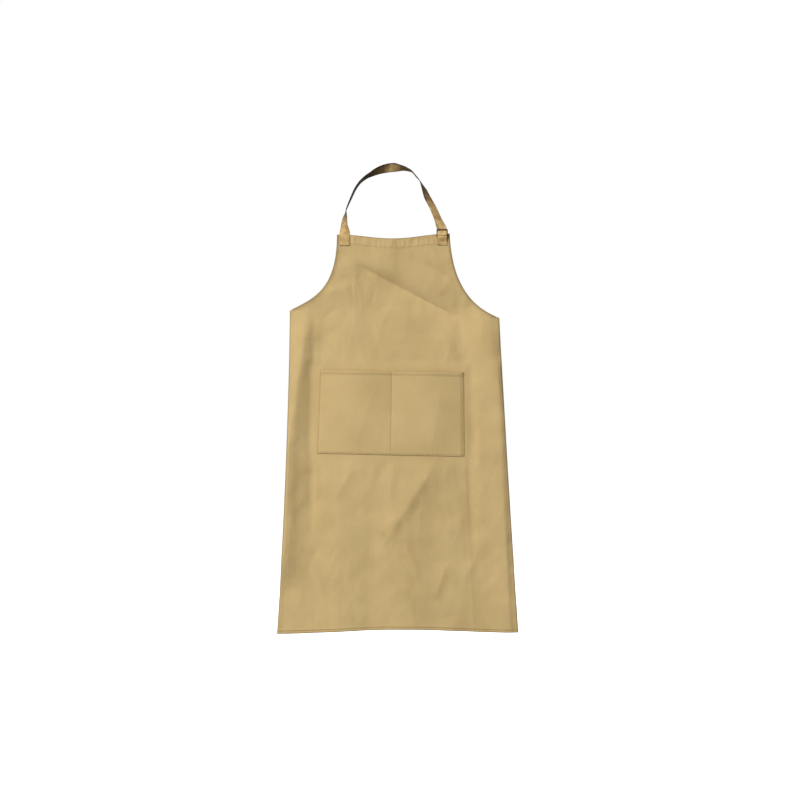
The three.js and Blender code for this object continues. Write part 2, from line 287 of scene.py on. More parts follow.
class Sock:
    """One output of a shader's node, which takes part in Python expressions."""

    def __init__(self, shader: "Shader", node: bpy.types.Node, output: Any) -> None:
        """Wrap an output of one of the shader's nodes."""
        self.shader = shader
        self.node = node
        self.output = output

    @property
    def socket(self) -> bpy.types.NodeSocket:
        """The output itself."""
        return self.node.outputs[self.output]

    def __add__(self, other: Any) -> "Sock":
        """Sum."""
        return self.shader.maths("ADD", self, other)

    __radd__ = __add__

    def __mul__(self, other: Any) -> "Sock":
        """Product."""
        return self.shader.maths("MULTIPLY", self, other)

    __rmul__ = __mul__

    def __sub__(self, other: Any) -> "Sock":
        """Difference."""
        return self.shader.maths("SUBTRACT", self, other)

    def __rsub__(self, other: Any) -> "Sock":
        """Difference, with this socket taken away."""
        return self.shader.maths("SUBTRACT", other, self)


class Shader:
    """The nodes of a material or of the sky."""

    def __init__(self, owner: bpy.types.Material | bpy.types.World) -> None:
        """Start with no nodes.

        Args:
            owner: The material or the sky.
        """
        owner.use_nodes = True
        self.owner = owner
        self.tree = owner.node_tree
        self.tree.nodes.clear()

    def node(
        self, kind: str, settings: dict[str, Any], sockets: dict[Any, Any], output: Any = 0
    ) -> Sock:
        """Add a node.

        Args:
            kind: The node's type.
            settings: The node's own settings, which are set first.
            sockets: Values or links of the node's inputs.
            output: Which output to hand back.

        Returns:
            The chosen output.
        """
        made = self.tree.nodes.new(kind)
        for key, value in settings.items():
            setattr(made, key, value)
        for key, value in sockets.items():
            if isinstance(value, Sock):
                self.tree.links.new(value.socket, made.inputs[key])
            else:
                made.inputs[key].default_value = value
        return Sock(self, made, output)

    def maths(self, operation: str, *values: Any) -> Sock:
        """Add a Math node for an operation on values."""
        return self.node("ShaderNodeMath", {"operation": operation}, dict(enumerate(values)))

    def mix(self, factor: Any, first: Any, second: Any) -> Sock:
        """Mix two colours."""
        return self.node("ShaderNodeMix", {"data_type": "RGBA"}, {0: factor, 6: first, 7: second}, 2)

    def place(self) -> Sock:
        """Points of the piece in its own frame, in metres."""
        return self.node("ShaderNodeTexCoord", {}, {}, "Object")

    def axes(self, place: Sock) -> tuple[Sock, ...]:
        """The x, y and z of points."""
        split = self.node("ShaderNodeSeparateXYZ", {}, {0: place})
        return tuple(Sock(self, split.node, axis) for axis in range(3))

    def noise(self, place: Sock, scale: float, detail: float) -> Sock:
        """Noise from 0 to 1, at so many waves a metre."""
        return self.node("ShaderNodeTexNoise", {}, {"Vector": place, "Scale": scale, "Detail": detail})

    def mark(self, mark: Mark) -> Sock:
        """One of the amounts on the cloth's points, or 0 where it has none."""
        return self.node("ShaderNodeAttribute", {"attribute_name": mark.value}, {}, "Fac")

    def relief(self, height: Sock, depth: float, strength: float) -> Sock:
        """The normal of a surface with a fine relief, whose depth is in metres."""
        sockets = {"Strength": strength, "Distance": depth, "Height": height}
        return self.node("ShaderNodeBump", {}, sockets)

    def surface(self, sockets: dict[str, Any]) -> bpy.types.Material:
        """Finish a material.

        Args:
            sockets: Values or links of its surface.

        Returns:
            The material.
        """
        made = self.node("ShaderNodeBsdfPrincipled", {}, sockets)
        self.node("ShaderNodeOutputMaterial", {}, {"Surface": made})
        return self.owner


def linear(colour: ScreenColour) -> ShaderColour:
    """A shader's colour for a screen colour, by the usual screen curve.

    Args:
        colour: Red, green and blue from 0 to 255.

    Returns:
        Red, green, blue and alpha from 0 to 1.
    """
    shares = [value / 255.0 for value in colour]
    red, green, blue = (
        share / 12.92 if share <= 0.04045 else ((share + 0.055) / 1.055) ** 2.4 for share in shares
    )
    return red, green, blue, 1.0


# Finishes


@dataclass(frozen=True)
class TwillFinish:
    """Washed cotton twill: a diagonal weave, slub yarns, flecks and a slight mottle.

    The scales are waves a metre. The tones are shares in the colour, the reliefs shares in the height.
    """

    name: str
    light: ScreenColour
    dark: ScreenColour
    # The edge colour is painted shade, mixed in along rims, rolled armholes and seam grooves
    edge: ScreenColour
    # The worn colour is painted shade, mixed in where the strap lies in shade
    worn: ScreenColour
    mottle_scale: float = 14.0
    mottle_share: float = 0.5
    roughness: float = 0.93
    gloss: float = 0.12
    sheen: float = 0.08
    sheen_roughness: float = 0.5
    weave_pitch: float = 1.3
    weave_slant: float = 0.8
    yarn_slant: float = 0.9
    yarn_ratio: float = 1.27
    weave_shares: Pair = (0.6, 0.4)
    slub_scales: Triple = (900.0, 900.0, 45.0)
    fleck_scale: float = 620.0
    slub_tone: float = 0.3
    fleck_tone: float = 0.35
    weave_tone: float = 0.06
    lightness: float = 0.17
    slub_relief: float = 0.6
    fleck_relief: float = 0.8
    weave_relief: float = 0.5
    relief_depth: float = 0.00012
    relief_strength: float = 0.55

    def material(self) -> bpy.types.Material:
        """Make the material."""
        shader = Shader(bpy.data.materials.new(self.name))
        place = shader.place()
        x, y, z = shader.axes(place)
        turn = math.tau / (self.weave_pitch * MM)
        diagonal = shader.maths("SINE", (x + y - z * self.weave_slant) * turn)
        yarn = shader.maths("SINE", (x * self.yarn_slant + y + z) * (turn * self.yarn_ratio))
        weave = diagonal * self.weave_shares[0] + yarn * self.weave_shares[1]
        drawn_out = shader.node("ShaderNodeMapping", {}, {0: place, 3: self.slub_scales})
        slub = shader.noise(drawn_out, scale=1.0, detail=3.0)
        mottle = shader.noise(place, self.mottle_scale, detail=5.0)
        fleck = shader.noise(place, self.fleck_scale, detail=2.0)
        grain = slub * self.slub_tone + fleck * self.fleck_tone + weave * self.weave_tone
        tone = (mottle - 0.5) * (2.0 * self.mottle_share) + grain + self.lightness
        colour = shader.mix(tone, linear(self.dark), linear(self.light))
        # Painted shade: the two marks mix the dark edge and worn colours in
        colour = shader.mix(shader.mark(Mark.WORN), colour, linear(self.worn))
        colour = shader.mix(shader.mark(Mark.EDGE), colour, linear(self.edge))
        height = weave * self.weave_relief + slub * self.slub_relief + fleck * self.fleck_relief
        return shader.surface({
            "Base Color": colour,
            "Roughness": self.roughness,
            "Specular IOR Level": self.gloss,
            "Sheen Weight": self.sheen,
            "Sheen Roughness": self.sheen_roughness,
            "Normal": shader.relief(height, self.relief_depth, self.relief_strength),
        })


@dataclass(frozen=True)
class ThreadFinish:
    """Spun sewing thread."""

    name: str
    light: ScreenColour
    dark: ScreenColour
    ply_scale: float = 1400.0
    roughness: float = 0.7
    relief_depth: float = 0.0001
    relief_strength: float = 0.4

    def material(self) -> bpy.types.Material:
        """Make the material."""
        shader = Shader(bpy.data.materials.new(self.name))
        ply = shader.noise(shader.place(), self.ply_scale, detail=2.0)
        return shader.surface({
            "Base Color": shader.mix(ply, linear(self.dark), linear(self.light)),
            "Roughness": self.roughness,
            "Normal": shader.relief(ply, self.relief_depth, self.relief_strength),
        })


@dataclass(frozen=True)
class BronzeFinish:
    """Dark bronze plating, rubbed brighter in places and finely scuffed."""

    name: str
    # On the bronze this colour is the plating's real rubbed wear
    worn: ScreenColour
    dark: ScreenColour
    rub_scale: float = 240.0
    scuff_scale: float = 1800.0
    rub_share: float = 0.8
    scuff_share: float = 0.2
    metallic: float = 0.3
    gloss: float = 0.2
    least_roughness: float = 0.6
    rub_roughness: float = 0.2
    relief_depth: float = 0.00005
    relief_strength: float = 0.2

    def material(self) -> bpy.types.Material:
        """Make the material."""
        shader = Shader(bpy.data.materials.new(self.name))
        place = shader.place()
        rub = shader.noise(place, self.rub_scale, detail=4.0)
        scuff = shader.noise(place, self.scuff_scale, detail=2.0)
        wear = rub * self.rub_share + scuff * self.scuff_share
        return shader.surface({
            "Base Color": shader.mix(wear, linear(self.dark), linear(self.worn)),
            "Metallic": self.metallic,
            "Specular IOR Level": self.gloss,
            "Roughness": rub * self.rub_roughness + self.least_roughness,
            "Normal": shader.relief(scuff, self.relief_depth, self.relief_strength),
        })


@dataclass(frozen=True)
class FloorFinish:
    """Plain pale paper that glows a little, so that it looks as white as the sky."""

    name: str
    colour: ShaderColour
    roughness: float = 0.9
    glow: float = 0.85

    def material(self) -> bpy.types.Material:
        """Make the material."""
        return Shader(bpy.data.materials.new(self.name)).surface({
            "Base Color": self.colour,
            "Roughness": self.roughness,
            "Emission Color": WHITE,
            "Emission Strength": self.glow,
        })


# Painted shade: the edge colours and the strap's near-black worn colour stand in for shade on rims,
# seams and the strap
TWILL = TwillFinish(
    "khaki_twill", light=(206, 180, 128), dark=(182, 156, 105), edge=(136, 113, 76), worn=(182, 156, 105)
)
STRAP_TWILL = TwillFinish(
    "strap_twill", light=(224, 192, 134), dark=(168, 134, 84), edge=(40, 27, 14), worn=(40, 27, 13),
    mottle_scale=75.0, mottle_share=1.3, roughness=0.8, gloss=0.04, sheen=0.0,
)
PALE_THREAD = ThreadFinish("pale_thread", light=(186, 158, 108), dark=(156, 128, 82))
DARK_THREAD = ThreadFinish("dark_thread", light=(112, 84, 50), dark=(78, 56, 32))
BRONZE = BronzeFinish("dark_bronze", worn=(88, 62, 38), dark=(40, 28, 18))
PALE_FLOOR = FloorFinish("pale_floor", colour=(0.92, 0.92, 0.92, 1.0))


@dataclass(frozen=True)
class Finishes:
    """The apron's materials, each made once."""

    twill: bpy.types.Material = field(default_factory=TWILL.material)
    strap_twill: bpy.types.Material = field(default_factory=STRAP_TWILL.material)
    pale_thread: bpy.types.Material = field(default_factory=PALE_THREAD.material)
    dark_thread: bpy.types.Material = field(default_factory=DARK_THREAD.material)
    bronze: bpy.types.Material = field(default_factory=BRONZE.material)


# How the cloth hangs


@dataclass(frozen=True)
class Fold:
    """One fold of the hanging cloth.

    The line goes from start to end in x and z. The depth goes back, or forward if negative.
    The widths lie to the left and to the right of the line's direction, and the fold fades over
    a share of its length at both ends.
    """

    name: str
    start: Pair
    end: Pair
    depth: float
    on_left: float
    on_right: float
    crispness: float = 1.7
    fade: float = 0.22

    def depth_at(self, x: np.ndarray, z: np.ndarray) -> np.ndarray:
        """How far back the fold moves the cloth.

        Args:
            x: Distances to the right.
            z: Heights.

        Returns:
            Depths to add.
        """
        run = np.subtract(self.end, self.start)
        length = float(np.hypot(*run))
        ahead_x, ahead_z = run / length
        from_x = x - self.start[0]
        from_z = z - self.start[1]
        share = (from_x * ahead_x + from_z * ahead_z) / length
        aside = ahead_x * from_z - ahead_z * from_x
        width = np.where(aside > 0.0, self.on_left, self.on_right)
        ends = smooth(share / self.fade) * smooth((1.0 - share) / self.fade)
        return self.depth * ends * np.exp(-((np.abs(aside) / width) ** self.crispness))


# Folds that the solids have too
MAIN_FOLDS = (
    Fold("bib drag line", (-106, -227), (178, -375), 13, 14, 66, 1.1),
    Fold("bib drag slope", (-40, -248), (226, -392), 7, 80, 110, 1.2),
    Fold("bib dent", (40, -212), (142, -276), 3.4, 10, 30, 1.2),
    Fold("left armhole gape", (-256, -334), (-70, -286), -4, 14, 36),
    Fold("left panel ridge, high", (-192, -330), (-249, -720), -12, 26, 24),
    Fold("left panel ridge, low", (-240, -625), (-257, -1010), -13, 26, 24),
    Fold("left edge turn", (-243, -300), (-265, -1010), 7, 13, 14),
    Fold("left pressed valley", (-184, -385), (-190, -920), 2.5, 14, 12),
    Fold("right pressed valley, high", (150, -290), (182, -560), 5, 16, 24),
    Fold("right pressed valley, low", (176, -440), (198, -1180), 3, 16, 16),
    Fold("right panel ridge", (242, -350), (284, -1200), -8, 13, 48),
    Fold("right edge turn", (256, -322), (290, -1060), 3, 10, 9),
    Fold("right underarm turn", (254, -310), (257, -480), 6, 12, 19),
    Fold("left skirt ridge", (-118, -705), (-134, -1270), -3, 34, 30),
    Fold("left skirt valley", (-46, -720), (-52, -1270), 2.4, 34, 30),
    Fold("middle skirt ridge", (40, -715), (30, -1270), -2.6, 36, 32),
    Fold("right skirt valley", (96, -730), (112, -1270), 2.6, 30, 32),
    Fold("pocket drag line", (114, -690), (-26, -908), -4.2, 17, 44, 1.2),
)

# Creases that are too slight for the solids
FINE_CREASES = (
    Fold("packing crease down the bib", (-86, -250), (-85, -425), -0.8, 6, 5, 1.2),
    Fold("packing crease across the bib", (-20, -400), (150, -404), 0.6, 5, 5, 1.2),
    Fold("left pressed line", (-172, -360), (-177, -880), -1.0, 4.5, 5, 1.1),
    Fold("right pressed line, high", (169, -370), (172, -760), -1.0, 5, 4.5, 1.1),
    Fold("right pressed line, low", (169, -640), (198, -1180), -1.1, 5, 4.5, 1.1),
    Fold("left of the drag line", (18, -830), (-34, -880), -2.4, 13, 18, 1.3),
    Fold("low skirt, middle", (34, -890), (66, -985), -1.8, 8, 12, 1.3),
    Fold("low skirt, right", (134, -935), (100, -1035), -2.0, 9, 14, 1.3),
    Fold("below the pocket, left", (-86, -715), (-140, -800), -1.6, 10, 15, 1.3),
    Fold("below the pocket, middle", (10, -700), (-6, -800), -1.4, 9, 13, 1.3),
    Fold("left of the bib, low", (-168, -372), (-122, -336), 1.1, 8, 12, 1.3),
    Fold("left of the bib, lower", (-170, -420), (-110, -380), 1.0, 9, 12, 1.3),
    Fold("right of the bib", (116, -300), (150, -372), 1.6, 12, 14, 1.3),
    Fold("low left", (-190, -930), (-150, -1060), -1.6, 12, 14, 1.3),
    Fold("right edge, eased", (262, -470), (302, -1150), -2.6, 12, 12),
    Fold("right pressed valley, eased at the foot", (188, -860), (199, -1200), -2.0, 15, 15),
    Fold("right skirt valley, eased at the foot", (100, -940), (112, -1300), -1.3, 30, 30),
)

POCKET_CREASES = (
    Fold("left half, long", (-30, -505), (-92, -690), -1.0, 10, 18, 1.3),
    Fold("left half, short", (-4, -540), (-40, -690), -0.8, 8, 14, 1.3),
    Fold("right half", (118, -520), (92, -690), -1.0, 16, 12, 1.3),
)


@dataclass(frozen=True)
class Crumple:
    """One size of the small creases in washed cloth, longer up and down than across.

    The valleys lie a shift away from the ridges, and the calm places are wider than the creases.
    """

    cell: float
    height: float
    sharpness: float
    seed: int
    upright: float = 0.62
    shift: float = 0.4
    calm_scale: float = 0.45

    def depth_at(self, x: np.ndarray, z: np.ndarray) -> np.ndarray:
        """How far back the creases move the cloth, strong in some places and calm in others.

        Args:
            x: Distances to the right.
            z: Heights.

        Returns:
            Depths to add.
        """
        u = x / self.cell
        v = z * self.upright / self.cell
        ridges = (1.0 - np.abs(gradient_noise(u, v, self.seed))) ** self.sharpness
        valleys = (1.0 - np.abs(gradient_noise(u + self.shift, v, self.seed + 1))) ** self.sharpness
        calm = smooth(0.5 + gradient_noise(self.calm_scale * u, self.calm_scale * v, self.seed + 2))
        return self.height * (valleys - ridges) * calm


CRUMPLES = (
    Crumple(cell=70.0, height=1.5, sharpness=3.0, seed=21),
    Crumple(cell=34.0, height=0.7, sharpness=3.0, seed=31),
    Crumple(cell=16.0, height=0.22, sharpness=2.0, seed=41),
)


@dataclass(frozen=True)
class Hang:
    """The form that the cloth hangs in: a bulged front, bent side panels and folds."""

    front: float = -110.0
    belly: float = 6.0
    half: float = 172.0
    bulge: float = 7.0
    panel_bend: float = 25.0
    panel_lean: float = -0.1
    top: float = -169.0
    foot: float = -1109.0
    pocket_low: Pair = (-174.7, -691.0)
    pocket_high: Pair = (171.3, -487.7)
    pocket_margin: float = 28.0
    sewn_patches: tuple[tuple[Pair, Pair], ...] = (
        ((-123.0, -198.0), (-96.0, -160.0)),
        ((106.0, -196.0), (133.0, -160.0)),
    )
    patch_margin: float = 9.0
    wander_height: float = 0.0014
    wander_lengths: Pair = (38.0, 170.0)
    wander_waves: int = 28
    wander_seed: int = 7

    @staticmethod
    def clear_of(low: Pair, high: Pair, margin: float, x: np.ndarray, z: np.ndarray) -> np.ndarray:
        """How clear points are of a box.

        Args:
            low: The box's least x and z.
            high: The box's greatest x and z.
            margin: How far from the box points are wholly clear.
            x: Distances to the right.
            z: Heights.

        Returns:
            0 inside the box, rising to 1 over the margin.
        """
        beside = np.maximum(low[0] - x, x - high[0])
        over = np.maximum(low[1] - z, z - high[1])
        return smooth(np.maximum(beside, over) / margin)

    def clear_of_pocket(self, x: np.ndarray, z: np.ndarray) -> np.ndarray:
        """1 clear of the pocket, falling to 0 where the pocket keeps the cloth flat."""
        return self.clear_of(self.pocket_low, self.pocket_high, self.pocket_margin, x, z)

    def clear_of_patches(self, x: np.ndarray, z: np.ndarray) -> np.ndarray:
        """1 clear of the strap's sewn end and the tab, falling to 0 where they hold the cloth."""
        margin = self.patch_margin
        return math.prod(self.clear_of(low, high, margin, x, z) for low, high in self.sewn_patches)

    def wander(self, x: np.ndarray, z: np.ndarray) -> np.ndarray:
        """The slight unevenness of washed cloth, from crossing waves of many lengths.

        Args:
            x: Distances to the right.
            z: Heights.

        Returns:
            Depths to add.
        """
        draw = np.random.default_rng(self.wander_seed)
        height = np.zeros(np.broadcast(x, z).shape)
        for _ in range(self.wander_waves):
            length = draw.uniform(*self.wander_lengths)
            turn = draw.uniform(0.0, math.pi)
            phase = draw.uniform(0.0, math.tau)
            travel = x * math.cos(turn) + z * math.sin(turn)
            height += self.wander_height * length * np.sin(math.tau * travel / length + phase)
        return height

    def solid_depth(self, x: Any, z: Any) -> np.ndarray:
        """The y of the solid's front face, without what is too slight for the solids.

        Args:
            x: Distances to the right.
            z: Heights.

        Returns:
            Depths, of the shape that x and z share.
        """
        x = np.asarray(x, float)
        z = np.asarray(z, float)
        past = np.maximum(0.0, np.abs(x) - self.half)
        form = self.front - self.belly * swell((z - self.top) / (self.foot - self.top))
        form = form + self.bulge * (x / self.half) ** 2
        form = form + self.panel_lean * past * past / (past + self.panel_bend)
        folds = sum(fold.depth_at(x, z) for fold in MAIN_FOLDS)
        return form + folds * self.clear_of_pocket(x, z)

    def depth(self, x: Any, z: Any) -> np.ndarray:
        """The y of the cloth's front face, with its fine creases and unevenness.

        Args:
            x: Distances to the right.
            z: Heights.

        Returns:
            Depths, of the shape that x and z share.
        """
        x = np.asarray(x, float)
        z = np.asarray(z, float)
        slight = sum(form.depth_at(x, z) for form in FINE_CREASES + CRUMPLES) + self.wander(x, z)
        return self.solid_depth(x, z) + slight * self.clear_of_pocket(x, z) * self.clear_of_patches(x, z)

    def slope_at(self, x: float, z: float, reach: float) -> float:
        """How far the solid's front goes back for each step to the right, over a reach each way."""
        rise = self.solid_depth(x + reach, z) - self.solid_depth(x - reach, z)
        return float(rise) / (2.0 * reach)


HANG = Hang()


# Stitches


@dataclass(frozen=True)
class Thread:
    """One stitch: its pitch along the seam, its length, its thickness, its depth and its form."""

    pitch: float = 3.0
    length: float = 2.5
    thick: float = 0.54
    sunk: float = 0.1
    full_share: float = 0.62
    sides: int = 6
    end_slack: float = 0.01

    def points(self) -> np.ndarray:
        """A tip, two rings and a tip, each point as its way ahead, aside and up."""
        half = self.length / 2.0
        radius = self.thick / 2.0
        points = [(-half, 0.0, -self.sunk - radius)]
        for along in (-self.full_share * half, self.full_share * half):
            for turn in range(self.sides):
                angle = math.tau * turn / self.sides
                points.append((along, radius * math.cos(angle), -self.sunk + radius * math.sin(angle)))
        points.append((half, 0.0, -self.sunk - radius))
        return np.array(points)

    def quads(self) -> np.ndarray:
        """The stitch's faces, where a tip's faces give one corner twice."""
        first = 1 + np.arange(self.sides)
        first_next = np.roll(first, -1)
        second = first + self.sides
        second_next = first_next + self.sides
        start = np.zeros_like(first)
        end = np.full_like(first, 2 * self.sides + 1)
        rings = (
            (first, first_next, second_next, second),
            (start, first_next, first, first),
            (end, second, second_next, second_next),
        )
        return np.concatenate([np.stack(corners, axis=1) for corners in rings])


@dataclass(frozen=True)
class Stitching:
    """Collects the stitches of one piece and makes them into one mesh."""

    thread: Thread = Thread()
    points: list[np.ndarray] = field(default_factory=list)
    faces: list[np.ndarray] = field(default_factory=list)

    def sew(self, path: np.ndarray, outward: Any = FRONT_WAY) -> None:
        """Add a row of stitches.

        Args:
            path: Points that the row follows on the cloth's face.
            outward: The way that the face points, for the row or for each point of the path.
        """
        outward = np.broadcast_to(np.asarray(outward, float), path.shape)
        places = travelled(path)
        half = self.thread.length / 2.0
        centres = np.arange(half, places[-1] - half + self.thread.end_slack, self.thread.pitch)
        middle = read_off(centres, places, path)
        ahead = unit(read_off(centres + half, places, path) - read_off(centres - half, places, path))
        up = square_to(read_off(centres, places, outward), ahead)
        axes = np.stack([ahead, np.cross(ahead, up), up], axis=1)
        local = self.thread.points()
        placed = middle[:, None, :] + np.einsum("ka,nax->nkx", local, axes)
        shifts = sum(map(len, self.points)) + np.arange(len(middle)) * len(local)
        self.points.append(placed.reshape(-1, 3))
        self.faces.append((self.thread.quads()[None, :, :] + shifts[:, None, None]).reshape(-1, 4))

    def build(self, name: str, slot: Slot, material: bpy.types.Material) -> bpy.types.Object:
        """Make the collected stitches into one piece and dress it.

        Args:
            name: The piece's name.
            slot: Not used.
            material: The thread's finish.

        Returns:
            The piece.
        """
        faces = [tuple(dict.fromkeys(quad)) for quad in np.concatenate(self.faces).tolist()]
        made = make_object(name, np.concatenate(self.points), faces)
        dress(made, material)
        return made


@dataclass(frozen=True)
class Sewn:
    """A dressed cloth and the stitches that belong to it."""

    cloth: bpy.types.Object
    stitches: list[bpy.types.Object]


# Apron body


@dataclass(frozen=True)
class SideEdge:
    """One side of the apron's outline: its corners, the armhole's handles and the side's bow.

    A run of 0 to 1 goes down the armhole, and one of 1 to 2 down the side.
    """

    bib_corner: Pair
    bib_handle: Pair
    underarm_handle: Pair
    underarm: Pair
    foot_corner: Pair
    bow: float
    slope_step: float = 0.03
    most_stretch: float = 2.4

    @property
    def top_rate(self) -> float:
        """How far down the edge goes for each unit of run, where the armhole starts."""
        return 3.0 * (self.bib_corner[1] - self.bib_handle[1])

    @property
    def side_rate(self) -> float:
        """How far down the edge goes for each unit of run along the side."""
        return self.underarm[1] - self.foot_corner[1]

    def at(self, runs: np.ndarray) -> np.ndarray:
        """Points of the edge.

        Args:
            runs: Places down the edge.

        Returns:
            Points in x and z.
        """
        t = np.clip(runs, 0.0, 1.0)[..., None]
        corners = (self.bib_corner, self.bib_handle, self.underarm_handle, self.underarm)
        shares = ((1 - t) ** 3, 3 * t * (1 - t) ** 2, 3 * t * t * (1 - t), t**3)
        armhole = sum(share * np.array(corner) for share, corner in zip(shares, corners))
        s = np.clip(runs - 1.0, 0.0, 1.0)[..., None]
        side = s * np.subtract(self.foot_corner, self.underarm)
        side[..., 0] += (4.0 * self.bow * s * (1.0 - s))[..., 0]
        return armhole + side

    def stretch(self, runs: np.ndarray) -> np.ndarray:
        """How much wider the hem is along a row than straight across it.

        Args:
            runs: Places down the edge.

        Returns:
            Ratios from 1 up.
        """
        travel = self.at(runs + self.slope_step) - self.at(runs - self.slope_step)
        ratios = np.hypot(travel[:, 0], travel[:, 1]) / np.abs(travel[:, 1])
        return np.clip(ratios, 1.0, self.most_stretch)


class Edge(Enum):
    """The apron's hemmed edges."""

    TOP = "top"
    FOOT = "foot"
    SIDE = "side"


@dataclass(frozen=True)
class Hem:
    """A turned hem: its width, the axis that it runs along, its ripple's phase and its seam's painted
    shade.

    The other values are its ridge, its seam's groove and puckers, the rolled edge and the mesh lines.
    """

    width: float
    axis: int
    phase: float
    # Painted shade along the seam's groove
    shade: float
    inset: float = 1.2
    ridge: float = 0.45
    groove: float = 0.35
    groove_width: float = 0.7
    pucker: float = 0.2
    pucker_share: float = 0.55
    edge_roll: float = 0.5
    roll_width: float = 0.8
    line_gap: float = 2.6
    least_lines: int = 3
    seam_gap: float = 0.5
    past: float = 2.4

    @property
    def stitch(self) -> float:
        """How far the seam lies from the edge."""
        return self.width - self.inset

    def lines(self) -> np.ndarray:
        """Distances from the edge at which the mesh needs a line, over the hem and just past it."""
        count = max(self.least_lines, round(self.width / self.line_gap))
        inner = np.linspace(self.roll_width, self.stitch - 2.0 * self.seam_gap, count)
        seam = self.stitch + self.seam_gap * np.array([-1.0, 0.0, 1.0])
        beyond = self.width + np.array([0.0, self.roll_width, self.past])
        return np.concatenate([[0.0], inner, seam, beyond])

    def relief(self, distance: np.ndarray, flat: np.ndarray) -> np.ndarray:
        """What the hem adds to the front's depth.

        Args:
            distance: Distances from the edge.
            flat: Points of the cloth in x and z.

        Returns:
            Depths to add, negative towards the front.
        """
        from_seam = distance - self.stitch
        ripple = RIPPLE.height(flat[..., self.axis], self.phase + (flat[..., 0] > 0.0))
        ridge = self.ridge * (1.0 - smooth((distance - self.width) / self.roll_width))
        groove = self.groove * bump(from_seam, self.groove_width)
        puckers = self.pucker * ripple * bump(from_seam, self.pucker_share * self.width)
        roll = self.edge_roll * (1.0 - smooth(distance / self.roll_width))
        return groove - ridge + puckers + roll


HEMS = {
    Edge.TOP: Hem(width=23.0, axis=0, phase=0.4, shade=0.2),
    Edge.FOOT: Hem(width=8.2, axis=0, phase=1.7, shade=0.8),
    Edge.SIDE: Hem(width=9.0, axis=1, phase=2.9, shade=0.0),
}


@dataclass(frozen=True)
class BandPuckers:
    """The upright puckers in the bib's top band, wide and fine, which rise and fall below the edge."""

    height: float = 0.75
    wide: float = 13.0
    wide_share: float = 2.2
    wide_drift: float = 0.02
    wide_seed: int = 51
    fine: float = 5.5
    fine_drift: float = 40.0
    fine_seed: int = 52
    rise: float = 6.0
    fall_start: float = 14.0
    fall: float = 12.0

    def depth_at(self, x: np.ndarray, z: np.ndarray, from_top: np.ndarray) -> np.ndarray:
        """How far back the puckers move the cloth.

        Args:
            x: Distances to the right.
            z: Heights.
            from_top: Distances from the top edge.

        Returns:
            Depths to add.
        """
        wide = gradient_noise(x / self.wide, self.wide_drift * z, self.wide_seed)
        fine = gradient_noise(x / self.fine, x / self.fine_drift, self.fine_seed)
        band = smooth(from_top / self.rise) * (1.0 - smooth((from_top - self.fall_start) / self.fall))
        return self.height * (self.wide_share * wide + fine) * band


BAND_PUCKERS = BandPuckers()


